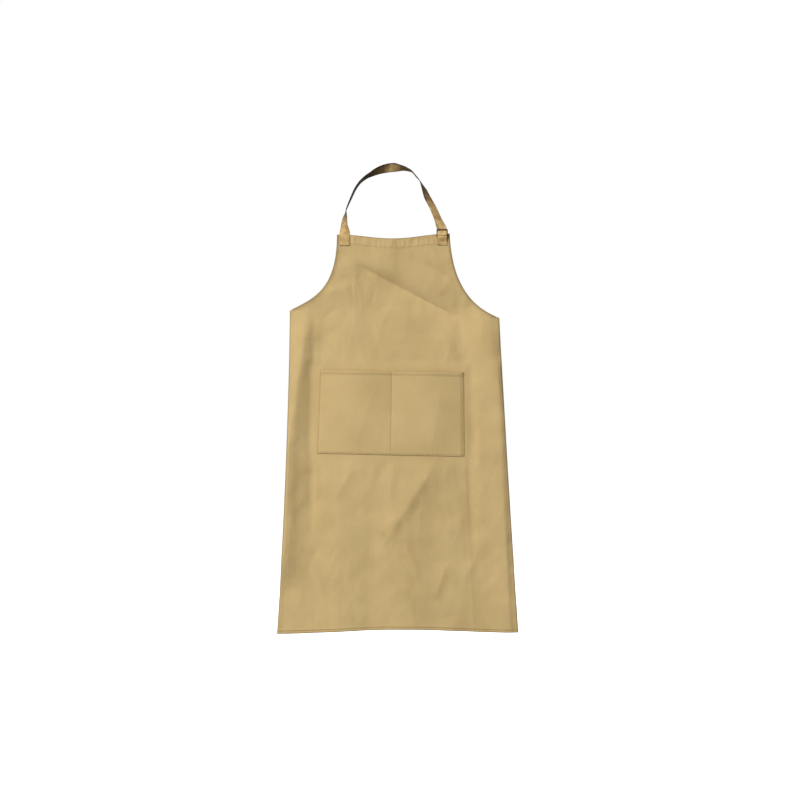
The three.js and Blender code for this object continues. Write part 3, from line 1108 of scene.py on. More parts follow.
@dataclass(frozen=True)
class ApronBody:
    """The bib and skirt, cut in one, with turned and stitched hems."""

    left: SideEdge = SideEdge(
        (-127.8, -169), (-128, -305), (-189, -321), (-238.7, -347.7), (-269.5, -1109), 5.5
    )
    right: SideEdge = SideEdge(
        (137.5, -166.5), (142.7, -314), (217, -350), (254.4, -365), (299.5, -1106), -2.0
    )
    cloth: float = 1.4
    turned: float = 2.6
    top_sag: float = 10.5
    foot_rise: float = 9.0
    # Painted shade: reaches and amounts of the darkening along the edges, the rolled armholes and the
    # seams
    edge_reach: float = 1.9
    seam_reach: float = 0.9
    armhole_reach: float = 7.5
    armhole_shade: float = 0.9
    armhole_end: float = 1.03
    armhole_fade: float = 0.06
    armhole_rows: int = 62
    side_rows: int = 168
    columns: int = 152
    seam_end: float = 0.004
    across_points: int = 240
    side_points: int = 700
    outline_points: int = 400

    @property
    def foot_width(self) -> float:
        """The cut's width along its foot."""
        return self.right.foot_corner[0] - self.left.foot_corner[0]

    @property
    def length(self) -> float:
        """The cut's length from its higher top corner to its lower foot corner."""
        return self.right.bib_corner[1] - self.left.foot_corner[1]

    def flat_area(self) -> float:
        """The cut's flat area in square metres, inside its outline."""
        runs = np.linspace(0.0, 2.0, self.outline_points)
        loop = np.concatenate([self.left.at(runs), self.right.at(runs)[::-1]]) * MM
        x, z = loop[:, 0], loop[:, 1]
        return abs(float(np.dot(x, np.roll(z, -1)) - np.dot(z, np.roll(x, -1)))) / 2.0

    def width_at(self, runs: np.ndarray) -> np.ndarray:
        """The cloth's width in each row."""
        return self.right.at(runs)[:, 0] - self.left.at(runs)[:, 0]

    def from_sides(self, runs: np.ndarray, distances: np.ndarray) -> tuple[np.ndarray, np.ndarray]:
        """Where points lie that are so far in from the side edges.

        Args:
            runs: The rows, as runs down the edge.
            distances: Distances straight across the hem.

        Returns:
            Shares across each row, first from the left edge and then from the right.
        """
        width = self.width_at(runs)
        left = distances[None, :] * (self.left.stretch(runs) / width)[:, None]
        right = 1.0 - distances[None, :] * (self.right.stretch(runs) / width)[:, None]
        return left, right

    def runs(self) -> np.ndarray:
        """The rows of the mesh, as runs down the edge."""
        top = HEMS[Edge.TOP].lines() / self.left.top_rate
        foot = 2.0 - HEMS[Edge.FOOT].lines()[::-1] / self.left.side_rate
        armhole = np.linspace(top[-1], 1.0, self.armhole_rows)[1:]
        side = np.linspace(1.0, foot[0], self.side_rows)[1:-1]
        return np.concatenate([top, armhole, side, foot])

    def shares(self, runs: np.ndarray) -> np.ndarray:
        """The columns of the mesh.

        Args:
            runs: The rows, as runs down the edge.

        Returns:
            Where each row's points lie from the left edge, 0, to the right edge, 1.
        """
        left, right = self.from_sides(runs, HEMS[Edge.SIDE].lines())
        right = right[:, ::-1]
        steps = np.linspace(0.0, 1.0, self.columns)[1:-1][None, :]
        middle = left[:, -1:] + (right[:, :1] - left[:, -1:]) * steps
        return np.concatenate([left, middle, right], axis=1)

    def plane_points(self, runs: np.ndarray, shares: np.ndarray) -> np.ndarray:
        """Points of the cloth in the plane.

        The top's sag fades down the armhole, and the foot's rise comes in down the side's lower half.

        Args:
            runs: The rows, as runs down the edge.
            shares: Shares across each row, or across every row.

        Returns:
            Points in x and z.
        """
        left = self.left.at(runs)[:, None, :]
        right = self.right.at(runs)[:, None, :]
        flat = left + (right - left) * shares[..., None]
        flat[..., 1] -= self.top_sag * swell(shares) * smooth(1.0 - runs)[:, None]
        flat[..., 1] += self.foot_rise * swell(shares) * smooth(2.0 * runs - 3.0)[:, None]
        return flat

    def hem_distances(self, runs: np.ndarray, shares: np.ndarray) -> dict[Edge, np.ndarray]:
        """How far points lie from the edges.

        Args:
            runs: The rows, as runs down the edge.
            shares: Shares across each row, or across every row.

        Returns:
            Distances from the top, the foot and the nearer side edge.
        """
        width = self.width_at(runs)[:, None]
        from_left = shares * width / self.left.stretch(runs)[:, None]
        from_right = (1.0 - shares) * width / self.right.stretch(runs)[:, None]
        whole = np.ones_like(shares)
        return {
            Edge.TOP: runs[:, None] * self.left.top_rate * whole,
            Edge.FOOT: (2.0 - runs)[:, None] * self.left.side_rate * whole,
            Edge.SIDE: np.minimum(from_left, from_right),
        }

    def front_points(self, runs: np.ndarray, shares: np.ndarray) -> np.ndarray:
        """Points of the cloth's front face, with its folds, hems and puckers.

        Args:
            runs: The rows, as runs down the edge.
            shares: Shares across each row, or across every row.

        Returns:
            Points in x, y and z.
        """
        flat = self.plane_points(runs, shares)
        x, z = flat[..., 0], flat[..., 1]
        away = self.hem_distances(runs, shares)
        relief = sum(hem.relief(away[edge], flat) for edge, hem in HEMS.items())
        relief = relief + BAND_PUCKERS.depth_at(x, z, away[Edge.TOP])
        depth = HANG.depth(x, z) + relief * HANG.clear_of_patches(x, z)
        return np.stack([x, depth, z], axis=-1)

    def painted_edge_shade(self, runs: np.ndarray, away: dict[Edge, np.ndarray]) -> np.ndarray:
        """How much painted shade darkens the cloth along its edges, its rolled armholes and its seams.

        Args:
            runs: The rows, as runs down the edge.
            away: Distances from the edges.

        Returns:
            Amounts from 0 to 1.
        """
        nearest = np.minimum.reduce(list(away.values()))
        rolled = 1.0 - smooth(away[Edge.SIDE] / self.armhole_reach)
        on_armhole = smooth((self.armhole_end - runs) / self.armhole_fade)[:, None]
        shades = [1.0 - smooth(nearest / self.edge_reach), self.armhole_shade * rolled * on_armhole]
        for edge, hem in HEMS.items():
            shades.append(hem.shade * bump(away[edge] - hem.stitch, self.seam_reach))
        return np.maximum.reduce(shades)

    def make(self) -> bpy.types.Object:
        """Make the cloth, thicker where its hems are turned."""
        runs = self.runs()
        shares = self.shares(runs)
        front = self.front_points(runs, shares)
        away = self.hem_distances(runs, shares)
        on_hem = np.logical_or.reduce([away[edge] <= hem.width for edge, hem in HEMS.items()])
        back = front.copy()
        back[..., 1] += np.where(on_hem, self.turned, self.cloth)
        return make_cloth("apron_cloth", front, back, {Mark.EDGE: self.painted_edge_shade(runs, away)})

    def sew(self, pale: Stitching, dark: Stitching) -> None:
        """Sew the hems.

        Args:
            pale: Takes the stitches of the top and the sides.
            dark: Takes the stitches of the foot.
        """
        across = np.linspace(0.0, 1.0, self.across_points)[None, :]
        top = np.array([HEMS[Edge.TOP].stitch / self.left.top_rate])
        foot = np.array([2.0 - HEMS[Edge.FOOT].stitch / self.left.side_rate])
        runs = np.linspace(self.seam_end, 2.0 - self.seam_end, self.side_points)
        left, right = self.from_sides(runs, np.array([HEMS[Edge.SIDE].stitch]))
        pale.sew(self.front_points(top, across).reshape(-1, 3))
        dark.sew(self.front_points(foot, across).reshape(-1, 3))
        for shares in (left, right):
            pale.sew(self.front_points(runs, shares).reshape(-1, 3))

    def build(self, finishes: Finishes) -> Sewn:
        """Make and dress the cloth and the stitches of its hems.

        Args:
            finishes: The materials.

        Returns:
            The pieces.
        """
        cloth = self.make()
        dress(cloth, finishes.twill)
        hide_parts("apron_body")
        hem_work = Stitching()
        foot_work = Stitching()
        self.sew(hem_work, foot_work)
        hem_stitches = hem_work.build("hem_stitches", Slot.TWILL, finishes.pale_thread)
        foot_stitches = foot_work.build("foot_stitches", Slot.TWILL, finishes.dark_thread)
        return Sewn(cloth, [hem_stitches, foot_stitches])


# Pocket


@dataclass(frozen=True)
class PatchPocket:
    """The wide patch pocket, sewn on three sides and down its middle."""

    top_left: Pair = (-167.7, -487.7)
    top_right: Pair = (170.0, -493.5)
    bottom_left: Pair = (-174.7, -683.5)
    bottom_right: Pair = (171.3, -691.0)
    cloth: float = 1.2
    turned: float = 1.8
    least_cloth: float = 0.5
    clearance: float = 0.5
    gape: float = 7.0
    hem: float = 8.0
    hem_step: float = 0.9
    top_stitch: float = 6.6
    side_stitch: float = 2.2
    second_side_stitch: float = 6.0
    foot_stitch: float = 2.4
    groove: float = 0.4
    groove_width: float = 0.75
    edge_roll: float = 0.45
    roll_width: float = 0.8
    seam_pucker: float = 0.34
    calm_foot: float = 1.2
    loose_below_top: float = 20.0
    loose_above_foot: float = 8.0
    # Painted shade along the pocket's edges and along its seam grooves
    painted_edge_shade: float = 0.55
    edge_reach: float = 1.2
    seam_shade: float = 0.3
    seam_reach: float = 0.7
    bartack: float = 14.0
    bartack_rows: tuple[float, ...] = (1.2, 1.9, 2.6, 3.3)
    edge_lines: tuple[float, ...] = (0.0, 0.7, 1.4, 2.0, 2.6, 3.3)
    hem_lines: tuple[float, ...] = (4.6, 5.7, 6.2, 6.6, 7.0, 7.6, 8.2, 9.0)
    seam_lines: tuple[float, ...] = (-1.4, -0.7, 0.0, 0.7, 1.4)
    rows: int = 72
    columns: int = 128
    seam_points: int = 220

    @property
    def width(self) -> float:
        """The pocket's width along its top."""
        return self.top_right[0] - self.top_left[0]

    @property
    def height(self) -> float:
        """The pocket's height down its left side."""
        return self.top_left[1] - self.bottom_left[1]

    def rows_down(self) -> np.ndarray:
        """The rows of the mesh, as shares from the top to the foot."""
        top = np.array(self.edge_lines + self.hem_lines) / self.height
        foot = 1.0 - np.array(self.edge_lines)[::-1] / self.height
        return np.concatenate([top, np.linspace(top[-1], foot[0], self.rows)[1:-1], foot])

    def columns_across(self) -> np.ndarray:
        """The columns of the mesh, as shares from the left side to the right."""
        side = np.array(self.edge_lines) / self.width
        seam = 0.5 + np.array(self.seam_lines) / self.width
        half = np.concatenate([side, np.linspace(side[-1], seam[0], self.columns // 2)[1:-1]])
        return np.concatenate([half, seam, 1.0 - half[::-1]])

    def plane_points(self, across: np.ndarray, down: np.ndarray) -> np.ndarray:
        """Points of the pocket in the plane.

        Args:
            across: Shares from the left side to the right.
            down: Shares from the top to the foot.

        Returns:
            Points in x and z.
        """
        over = across[..., None]
        upper = np.array(self.top_left) + over * np.subtract(self.top_right, self.top_left)
        lower = np.array(self.bottom_left) + over * np.subtract(self.bottom_right, self.bottom_left)
        return upper + (lower - upper) * down[..., None]

    def edge_distances(self, across: np.ndarray, down: np.ndarray) -> tuple[np.ndarray, ...]:
        """How far points lie from the nearer side, from the top and from the foot."""
        from_side = np.minimum(across, 1.0 - across) * self.width
        return from_side, down * self.height, (1.0 - down) * self.height

    def seams(self, across: np.ndarray, down: np.ndarray) -> list[tuple[np.ndarray, int, float, float]]:
        """The pocket's seams: its top, its sides, the second row on the right, its foot and its middle.

        Args:
            across: Shares from the left side to the right.
            down: Shares from the top to the foot.

        Returns:
            For each seam, distances from it, the axis that it runs along, its ripple's phase and reach.
        """
        from_side, from_top, from_foot = self.edge_distances(across, down)
        from_right = (1.0 - across) * self.width
        return [
            (from_top - self.top_stitch, 0, 1.1, 5.0),
            (from_side - self.side_stitch, 1, 2.2, 7.0),
            (from_right - self.second_side_stitch, 1, 2.9, 4.0),
            (from_foot - self.foot_stitch, 0, 3.4, 8.0),
            ((across - 0.5) * self.width, 1, 4.1, 7.0),
        ]

    @staticmethod
    def slack(across: np.ndarray) -> np.ndarray:
        """How loose the cloth is: 0 at the upright seams, 1 in the middle of each half."""
        return np.abs(np.sin(math.tau * across))

    def inner_depth(self, across: np.ndarray, down: np.ndarray) -> np.ndarray:
        """The y of the pocket's inner face, which gapes at the top.

        Args:
            across: Shares from the left side to the right.
            down: Shares from the top to the foot.

        Returns:
            Depths.
        """
        flat = self.plane_points(across, down)
        gape = self.gape * self.slack(across) * np.cos(np.pi * down / 2.0)
        return HANG.depth(flat[..., 0], flat[..., 1]) - self.clearance - gape

    def front_points(self, across: np.ndarray, down: np.ndarray) -> np.ndarray:
        """Points of the pocket's front face, with its seams sunk in.

        Args:
            across: Shares from the left side to the right.
            down: Shares from the top to the foot.

        Returns:
            Points in x, y and z.
        """
        flat = self.plane_points(across, down)
        x, z = flat[..., 0], flat[..., 1]
        from_side, from_top, from_foot = self.edge_distances(across, down)
        on_hem = 1.0 - smooth((from_top - self.hem) / self.hem_step)
        depth = self.inner_depth(across, down) - self.cloth - (self.turned - self.cloth) * on_hem
        loose = smooth(from_top / self.loose_below_top) * smooth(from_foot / self.loose_above_foot)
        depth += sum(fold.depth_at(x, z) for fold in POCKET_CREASES) * self.slack(across) * loose
        for distance, axis, phase, reach in self.seams(across, down):
            ripple = RIPPLE.height(flat[..., axis], phase) * bump(distance, reach)
            depth += self.groove * bump(distance, self.groove_width)
            depth += self.seam_pucker * ripple * smooth(from_foot / self.calm_foot)
        nearest = np.minimum.reduce([from_side, from_top, from_foot])
        depth += self.edge_roll * (1.0 - smooth(nearest / self.roll_width))
        return np.stack([x, depth, z], axis=-1)

    def make(self) -> bpy.types.Object:
        """Make the pocket's cloth, with painted shade along its edges and seams."""
        across, down = np.meshgrid(self.columns_across(), self.rows_down())
        front = self.front_points(across, down)
        back = front.copy()
        back[..., 1] = np.maximum(self.inner_depth(across, down), front[..., 1] + self.least_cloth)
        nearest = np.minimum.reduce(self.edge_distances(across, down))
        shades = [self.painted_edge_shade * (1.0 - smooth(nearest / self.edge_reach))]
        for distance, *_ in self.seams(across, down):
            shades.append(self.seam_shade * bump(distance, self.seam_reach))
        return make_cloth("pocket_cloth", front, back, {Mark.EDGE: np.maximum.reduce(shades)})

    def sew(self, stitching: Stitching) -> None:
        """Sew the pocket's top hem, foot, sides, middle and the bartack at one corner.

        Args:
            stitching: Takes the stitches.
        """
        whole = np.linspace(0.0, 1.0, self.seam_points)
        side = self.side_stitch / self.width
        second = self.second_side_stitch / self.width
        for down in (self.top_stitch / self.height, 1.0 - self.foot_stitch / self.height):
            stitching.sew(self.front_points(whole, np.full_like(whole, down)))
        for across in (side, 0.5, 1.0 - side, 1.0 - second):
            stitching.sew(self.front_points(np.full_like(whole, across), whole))
        short = whole * self.bartack / self.height
        for inset in self.bartack_rows:
            stitching.sew(self.front_points(np.full_like(whole, 1.0 - inset / self.width), short))

    def build(self, finishes: Finishes) -> Sewn:
        """Make and dress the pocket and its stitches.

        Args:
            finishes: The materials.

        Returns:
            The pieces.
        """
        pocket = self.make()
        dress(pocket, finishes.twill)
        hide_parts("pocket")
        work = Stitching()
        self.sew(work)
        return Sewn(pocket, [work.build("pocket_stitches", Slot.TWILL, finishes.dark_thread)])


# Strips of folded cloth


@dataclass(frozen=True)
class Station:
    """A place on a strip: its middle, the way that one edge points, its width and how much painted shade
    it takes.
    """

    at: np.ndarray
    edge: np.ndarray
    width: float
    worn: float


# Across a strip from one edge to the other: the place, the thickness, the side that takes painted shade
# first, the painted rim shade
STRIP_PROFILE = np.array([
    (-1.0, 0.35, 1.0, 1.0),
    (-0.97, 0.8, 1.0, 1.0),
    (-0.91, 1.0, 1.0, 0.7),
    (-0.8, 0.74, 0.9, 0.2),
    (-0.74, 0.9, 0.8, 0.0),
    (-0.4, 1.0, 0.35, 0.0),
    (0.0, 1.0, 0.0, 0.0),
    (0.4, 1.0, 0.0, 0.0),
    (0.74, 0.9, 0.0, 0.0),
    (0.8, 0.74, 0.0, 0.2),
    (0.91, 1.0, 0.0, 0.7),
    (0.97, 0.8, 0.0, 1.0),
    (1.0, 0.35, 0.0, 1.0),
])


@dataclass(frozen=True)
class Strip:
    """A strip of folded cloth that follows a list of stations."""

    stations: list[Station]
    thick: float
    steps: int = 10
    nudge: float = 1e-4
    # Where the painted shade starts to spread to the shaded side, and the painted shade on every rim
    shade_start: float = 0.3
    shade_rise: float = 0.2
    rim_shade: float = 0.12
    stitch_rise: float = 0.8

    def shares(self) -> np.ndarray:
        """Every step along the strip, from 0 at its start to 1 at its end."""
        return np.linspace(0.0, 1.0, (len(self.stations) - 1) * self.steps + 1)

    def between(self, values: Sequence[Any]) -> np.ndarray:
        """One value or vector for each station, read off at every step along the strip."""
        count = len(self.stations)
        return read_off(self.shares() * (count - 1), np.arange(count), np.reshape(values, (count, -1)))

    def frames(self) -> tuple[np.ndarray, ...]:
        """Follow the strip.

        Returns:
            Middles, across ways, outward ways and widths at every step along the strip.
        """
        shares = self.shares()
        points = np.array([station.at for station in self.stations])
        edge = self.between([station.edge for station in self.stations])
        width = self.between([station.width for station in self.stations])
        travel = curve_through(points, shares + self.nudge) - curve_through(points, shares - self.nudge)
        ahead = unit(travel)
        across = square_to(edge, ahead)
        return curve_through(points, shares), across, np.cross(ahead, across), width

    def face(self, side: float) -> np.ndarray:
        """One face of the strip, thinned towards its edges.

        Args:
            side: 1 for the outward face, -1 for the inward one.

        Returns:
            Points, in rows along the strip and columns across it.
        """
        middle, across, outward, width = self.frames()
        places, rises = STRIP_PROFILE[:, 0], STRIP_PROFILE[:, 1]
        over = across[:, None, :] * (places * width / 2.0)[:, :, None]
        rise = outward[:, None, :] * (side * self.thick / 2.0 * rises)[None, :, None]
        return middle[:, None, :] + over + rise

    def make(self, name: str) -> bpy.types.Object:
        """Make the strip's cloth.

        Args:
            name: The piece's name.

        Returns:
            The piece, marked with painted shade where the strap lies in shade and along its rims.
        """
        shaded_side, rim = STRIP_PROFILE[:, 2], STRIP_PROFILE[:, 3]
        # Painted shade: the strap darkens where it lies in shade, on its shaded side first, and along
        # its rims
        worn = self.between([station.worn for station in self.stations])
        worn = np.maximum(worn, shaded_side * smooth((worn - self.shade_start) / self.shade_rise))
        edge = rim * (self.rim_shade + (1.0 - self.rim_shade) * worn)
        return make_cloth(name, self.face(1.0), self.face(-1.0), {Mark.EDGE: edge, Mark.WORN: worn})

    def sew_edges(self, stitching: Stitching, inset: float) -> None:
        """Sew a row along each edge, on both faces.

        Args:
            stitching: Takes the stitches.
            inset: How far the rows lie from the edges.
        """
        middle, across, outward, width = self.frames()
        for end in (-1.0, 1.0):
            for side in (-1.0, 1.0):
                over = across * (end * (width / 2.0 - inset))
                path = middle + over + outward * (side * self.thick / 2.0 * self.stitch_rise)
                stitching.sew(path, outward * side)

    def length(self) -> float:
        """The strip's length in metres."""
        return float(travelled(self.frames()[0])[-1]) * MM


# Buckle corner


@dataclass(frozen=True)
class BuckleCorner:
    """The slide buckle and the folded tab that holds it on the bib's corner.

    The buckle's own frame has its middle between the bars, with x along them and z up.
    """

    centre: Pair = (119.5, -166.5)
    stand_off: float = 3.6
    thick: float = 1.8
    bar: float = 2.0
    top_bar: float = 9.0
    middle_bar: float = -3.0
    lowest_bar: float = -9.0
    clearance: float = 0.5
    pressed_gap: float = 0.2
    turn_square: float = 0.4
    turn_points: int = 9
    tab_cloth: float = 0.9
    tab_width: float = 22.4
    tab_reach: float = 26.5
    tab_sewn_top: float = -20.0
    tab_lift: float = 0.7
    strap_width: float = 22.0
    seam_lift: float = 0.1
    seam_foot: float = 0.8
    seam_rows: Pair = (0.0, 0.7)

    @property
    def tab_radius(self) -> float:
        """How far the tab's middle lies from the middle of its bar."""
        return self.thick / 2.0 + self.clearance + self.tab_cloth / 2.0

    def turned(self) -> np.ndarray:
        """The buckle frame's turn about Z, which follows the bib's slope."""
        turn = math.atan(HANG.slope_at(*self.centre, self.strap_width / 2.0))
        along, back = math.cos(turn), math.sin(turn)
        return np.array([[along, -back, 0.0], [back, along, 0.0], [0.0, 0.0, 1.0]])

    def placed(self, local: np.ndarray) -> np.ndarray:
        """Points of the buckle's own frame, put in place on the bib."""
        x, z = self.centre
        middle = np.array([x, float(HANG.solid_depth(x, z)) - self.stand_off, z])
        return local @ self.turned().T + middle

    def bar_turn(self, bar_z: float, radius: float, start: float, end: float) -> list[Triple]:
        """A pressed half turn round a bar.

        Args:
            bar_z: The bar's height.
            radius: How far from the bar's middle the turn lies.
            start: The angle that the turn starts at.
            end: The angle that it ends at.

        Returns:
            Points in the buckle's own frame.
        """
        angles = np.linspace(start, end, self.turn_points)
        ways = np.stack([np.cos(angles), np.sin(angles)])
        back, up = radius * np.sign(ways) * np.abs(ways) ** self.turn_square
        return [(0.0, y, z) for y, z in zip(back, bar_z + up)]

    def tab(self) -> Strip:
        """The tab's strip: up behind, round the lowest bar and down in front."""
        back_leg = self.stand_off - self.pressed_gap - self.tab_cloth / 2.0
        front_leg = back_leg - self.tab_cloth - self.pressed_gap
        path = [
            (0.0, back_leg, -self.tab_reach),
            (0.0, back_leg, self.tab_sewn_top),
            *self.bar_turn(self.lowest_bar + self.tab_lift, self.tab_radius, 0.0, math.pi),
            (0.0, front_leg, self.tab_sewn_top),
            (0.0, front_leg, -self.tab_reach),
        ]
        edge = self.turned() @ np.array([-1.0, 0.0, 0.0])
        stations = [Station(point, edge, self.tab_width, 0.0) for point in self.placed(np.array(path))]
        return Strip(stations, self.tab_cloth)

    def sew(self, stitching: Stitching) -> None:
        """Sew the tab down along its foot, a little aslant.

        Args:
            stitching: Takes the stitches.
        """
        face = self.stand_off - 2.0 * (self.pressed_gap + self.tab_cloth) - self.seam_lift
        half = self.tab_width / 2.0
        foot = -self.tab_reach
        start = (-half, face, foot + self.seam_foot)
        end = (half, face, foot + 2.0 * self.tab_radius)
        path = np.array([start, end])
        for rise in self.seam_rows:
            stitching.sew(self.placed(path + np.array([0.0, 0.0, rise])))

    def build(self, finishes: Finishes) -> Sewn:
        """Make and dress the tab, and give the buckle's own solid its finish.

        Args:
            finishes: The materials.

        Returns:
            The tab, whose stitches are sewn with the strap's.
        """
        tab = self.tab().make("tab_cloth")
        dress(tab, finishes.strap_twill)
        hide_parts("buckle_tab")
        buckle = bpy.data.objects["slide_buckle"]
        buckle.data.materials.clear()
        buckle.data.materials.append(finishes.bronze)
        LOG.info("%s: the solid, with a new finish", buckle.name)
        return Sewn(tab, [])


# Neck strap


@dataclass(frozen=True)
class NeckStrap:
    """The strap from the sewn corner, up and round the back, to the buckle.

    The route gives the strap's middle, the way that one edge points and how much painted shade it takes.
    """

    width: float = 22.0
    cloth: float = 1.4
    clearance: float = 0.5
    # Slight painted shade on the tail, in the buckle and on the sewn end
    tail: float = 26.0
    tail_painted_shade: float = 0.1
    buckle_width: float = 23.2
    buckle_painted_shade: float = 0.15
    sewn_x: float = -109.6
    sewn_low: float = -195.5
    sewn_high: float = -165.0
    sewn_width: float = 24.4
    sewn_painted_shade: float = 0.05
    edge_stitch: float = 2.4
    end_rows: Pair = (1.0, 1.7)
    end_points: int = 12
    # Each row: the middle, the way that one edge points and the painted shade, darkest where the strap
    # turns edge-on in shade
    route: tuple[tuple[Triple, Triple, float], ...] = (
        ((-110.8, -106, -149), (-0.72, 0.69, 0), 0.2),
        ((-109.7, -100.5, -127.5), (-0.45, 0.9, 0), 0.5),
        ((-107.4, -94.5, -112.7), (0, 1, 0), 0.95),
        ((-94.3, -77, -78), (0.1, 1, -0.05), 1.0),
        ((-84, -62, -55), (0.11, 1, -0.06), 1.0),
        ((-70.8, -46, -36), (0.1, 1, -0.1), 1.0),
        ((-53, -28, -20.8), (0.16, 1, -0.23), 0.95),
        ((-27.5, -9, -6.8), (0.22, 0.66, -0.71), 0.62),
        ((0, 0.7, 0), (0, 0.1, -1), 0.42),
        ((25.2, -8, -1.4), (-0.08, 0.9, -0.4), 0.62),
        ((44.3, -26, -9.2), (0, 1, -0.03), 0.9),
        ((58.5, -43, -25), (0, 1, 0), 0.6),
        ((70.2, -57, -41), (0.06, 1, 0.04), 0.85),
        ((77, -68, -56), (0.33, 0.9, 0.16), 0.8),
        ((86.2, -82, -80.9), (0.6, 0.74, 0.28), 0.55),
        ((98.6, -95, -105.8), (0.63, 0.7, 0.3), 0.12),
        ((110, -103.5, -133.6), (0.72, 0.6, 0.3), 0.0),
    )

    def sewn_end(self) -> list[Station]:
        """Stations of the end that is sewn on the bib."""
        stations = []
        for z in (self.sewn_low, (self.sewn_low + self.sewn_high) / 2.0, self.sewn_high):
            depth = float(HANG.solid_depth(self.sewn_x, z)) - self.clearance - self.cloth / 2.0
            edge = np.array([-1.0, -HANG.slope_at(self.sewn_x, z, self.width / 2.0), 0.0])
            middle = np.array([self.sewn_x, depth, z])
            stations.append(Station(middle, edge, self.sewn_width, self.sewn_painted_shade))
        return stations

    def loop(self) -> list[Station]:
        """Stations of the loop between the two corners."""
        return [
            Station(np.array(at, float), np.array(edge, float), self.width, worn)
            for at, edge, worn in self.route
        ]

    def through_buckle(self, corner: BuckleCorner) -> list[Station]:
        """Stations behind the top bar, over the middle bar and back up behind the strap.

        Args:
            corner: The buckle.

        Returns:
            The stations, ending with the tail.
        """
        radius = corner.thick / 2.0 + self.clearance + self.cloth / 2.0
        layer = self.cloth + self.clearance
        under_top = corner.top_bar - corner.bar / 2.0
        path = [
            (0.0, radius + self.clearance, under_top),
            *corner.bar_turn(corner.middle_bar, radius, math.pi, 2.0 * math.pi),
            (0.0, radius + self.clearance + layer, under_top),
        ]
        points = corner.placed(np.array(path))
        edge = corner.turned() @ np.array([1.0, 0.0, 0.0])
        stations = [Station(point, edge, self.buckle_width, self.buckle_painted_shade) for point in points]
        last = self.loop()[-1]
        above = last.at + np.array([0.0, layer, 0.0])
        tail = points[-1] + unit(above - points[-1]) * self.tail
        return stations + [Station(tail, last.edge, self.width, self.tail_painted_shade)]

    def strip(self, corner: BuckleCorner) -> Strip:
        """The whole strap, for the buckle that it passes through."""
        return Strip(self.sewn_end() + self.loop() + self.through_buckle(corner), self.cloth)

    def sew_end(self, stitching: Stitching) -> None:
        """Sew the strap's end down with two rows along its foot.

        Args:
            stitching: Takes the stitches.
        """
        half = self.sewn_width / 2.0
        x = np.linspace(self.sewn_x - half, self.sewn_x + half, self.end_points)
        for rise in self.end_rows:
            z = np.full_like(x, self.sewn_low + rise)
            y = HANG.solid_depth(x, z) - self.clearance - self.cloth
            stitching.sew(np.stack([x, y, z], axis=1))

    def build(self, finishes: Finishes, corner: BuckleCorner) -> Sewn:
        """Make and dress the strap, its edge stitches and the stitches at both its ends.

        Args:
            finishes: The materials.
            corner: The buckle, whose tab is sewn with the strap's end.

        Returns:
            The pieces.
        """
        strip = self.strip(corner)
        strap = strip.make("strap_cloth")
        dress(strap, finishes.strap_twill)
        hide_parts("neck_strap")
        edge_work = Stitching()
        strip.sew_edges(edge_work, self.edge_stitch)
        edge_stitches = edge_work.build("strap_stitches", Slot.STRAP, finishes.pale_thread)
        end_work = Stitching()
        self.sew_end(end_work)
        corner.sew(end_work)
        end_stitches = end_work.build("strap_end_stitches", Slot.STRAP, finishes.dark_thread)
        return Sewn(strap, [edge_stitches, end_stitches])


# Studio


@dataclass(frozen=True)
class Lamp:
    """A square soft box: its place and size in metres and its power in watts."""

    name: str
    place: Triple
    size: float
    watts: float

    def light(self, aim: Triple) -> None:
        """Add the lamp to the scene.

        Args:
            aim: The point that it is turned to, in metres.
        """
        light = bpy.data.lights.new(self.name, "AREA")
        light.size = self.size
        light.energy = self.watts
        seat = bpy.data.objects.new(self.name, light)
        seat.location = self.place
        way_x, way_y, way_z = (float(way) for way in np.subtract(aim, self.place))
        tilt = math.atan2(math.hypot(way_x, way_y), -way_z)
        heading = math.atan2(way_y, way_x) - math.pi / 2.0
        seat.rotation_euler = (tilt, 0.0, heading)
        bpy.context.scene.collection.objects.link(seat)


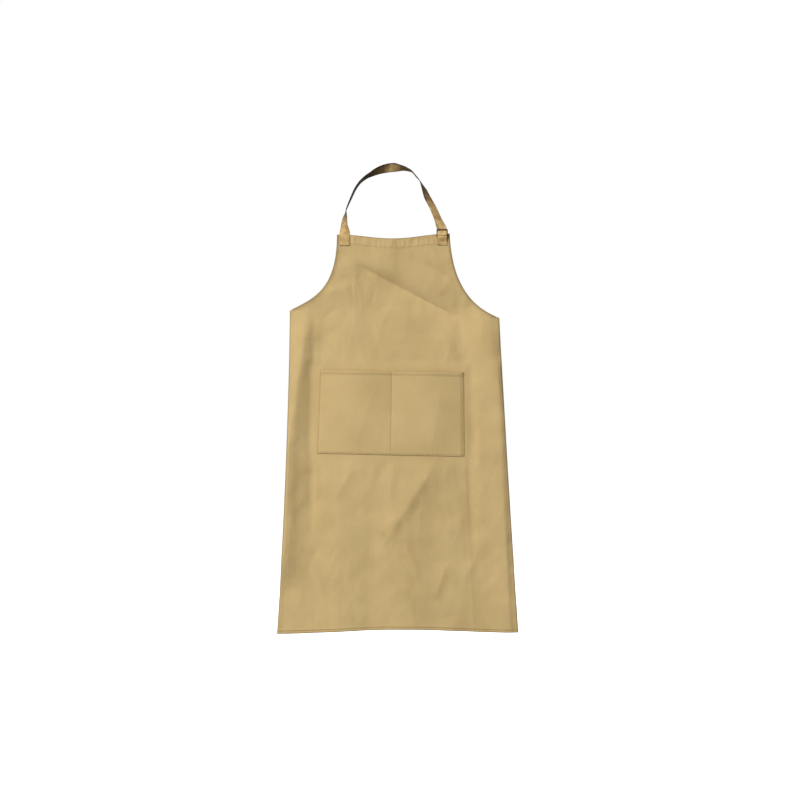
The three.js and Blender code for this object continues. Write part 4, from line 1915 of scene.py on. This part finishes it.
@dataclass(frozen=True)
class Studio:
    """The camera at the photo's place, the soft light and the pale floor."""

    axis_x: float = 20.4
    axis_z: float = -558.2
    distance: float = 5000.0
    frame_width: float = 1880.0
    sensor: float = 36.0
    sight: float = 200.0
    aim: Triple = (0.02, -0.1, -0.6)
    lamps: tuple[Lamp, ...] = (
        Lamp("key", (-5.8, -8.7, 5.8), size=2.8, watts=1475.0),
        Lamp("fill", (-1.2, -5.0, -1.9), size=2.6, watts=40.0),
        Lamp("back", (1.6, 4.6, 0.9), size=2.6, watts=110.0),
    )
    sky_light: float = 0.22
    sky_seen: float = 1.0
    floor_z: float = -1400.0
    floor_reach: float = 40.0

    def camera(self) -> None:
        """Place the camera level, looking along +Y at the bib."""
        view = bpy.data.cameras.new("camera")
        view.sensor_width = self.sensor
        view.lens = self.sensor * self.distance / self.frame_width
        view.clip_end = self.sight
        seat = bpy.data.objects.new("camera", view)
        seat.location = (self.axis_x * MM, (HANG.front - self.distance) * MM, self.axis_z * MM)
        seat.rotation_euler = (math.pi / 2.0, 0.0, 0.0)
        bpy.context.scene.collection.objects.link(seat)
        bpy.context.scene.camera = seat

    def sky(self) -> None:
        """Surround the scene with an even sky, which looks white and lights weakly."""
        shader = Shader(bpy.data.worlds.new("studio"))
        ray = shader.node("ShaderNodeLightPath", {}, {}, "Is Camera Ray")
        light = shader.node("ShaderNodeBackground", {}, {"Color": WHITE, "Strength": self.sky_light})
        seen = shader.node("ShaderNodeBackground", {}, {"Color": WHITE, "Strength": self.sky_seen})
        both = shader.node("ShaderNodeMixShader", {}, {0: ray, 1: light, 2: seen})
        shader.node("ShaderNodeOutputWorld", {}, {"Surface": both})
        bpy.context.scene.world = shader.owner

    def floor(self) -> None:
        """Lay a plain pale floor well below the apron."""
        reach = self.floor_reach / MM
        corners = [(-reach, -reach), (reach, -reach), (reach, reach), (-reach, reach)]
        points = np.array([(x, y, self.floor_z) for x, y in corners])
        made = make_object("floor", points, [(0, 1, 2, 3)])
        made.data.materials.append(PALE_FLOOR.material())
        made.visible_diffuse = False

    def build(self) -> None:
        """Set up the whole studio."""
        bpy.context.scene.view_settings.view_transform = "Standard"
        self.camera()
        for lamp in self.lamps:
            lamp.light(self.aim)
        self.sky()
        self.floor()


def main() -> None:
    """Build the apron's looks, piece by piece."""
    logging.basicConfig(level=logging.INFO, format="%(message)s")
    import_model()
    Studio().build()
    finishes = Finishes()

    body = ApronBody()
    apron = body.build(finishes)
    patch = PatchPocket()
    pocket = patch.build(finishes)
    corner = BuckleCorner()
    tab = corner.build(finishes)
    neck = NeckStrap()
    strap = neck.build(finishes, corner)

    body.length * MM
    body.flat_area()
    patch.width * MM
    patch.height * MM
    neck.width * MM
    neck.strip(corner).length()
    corner.tab().length()


if __name__ == "__main__":
    main()
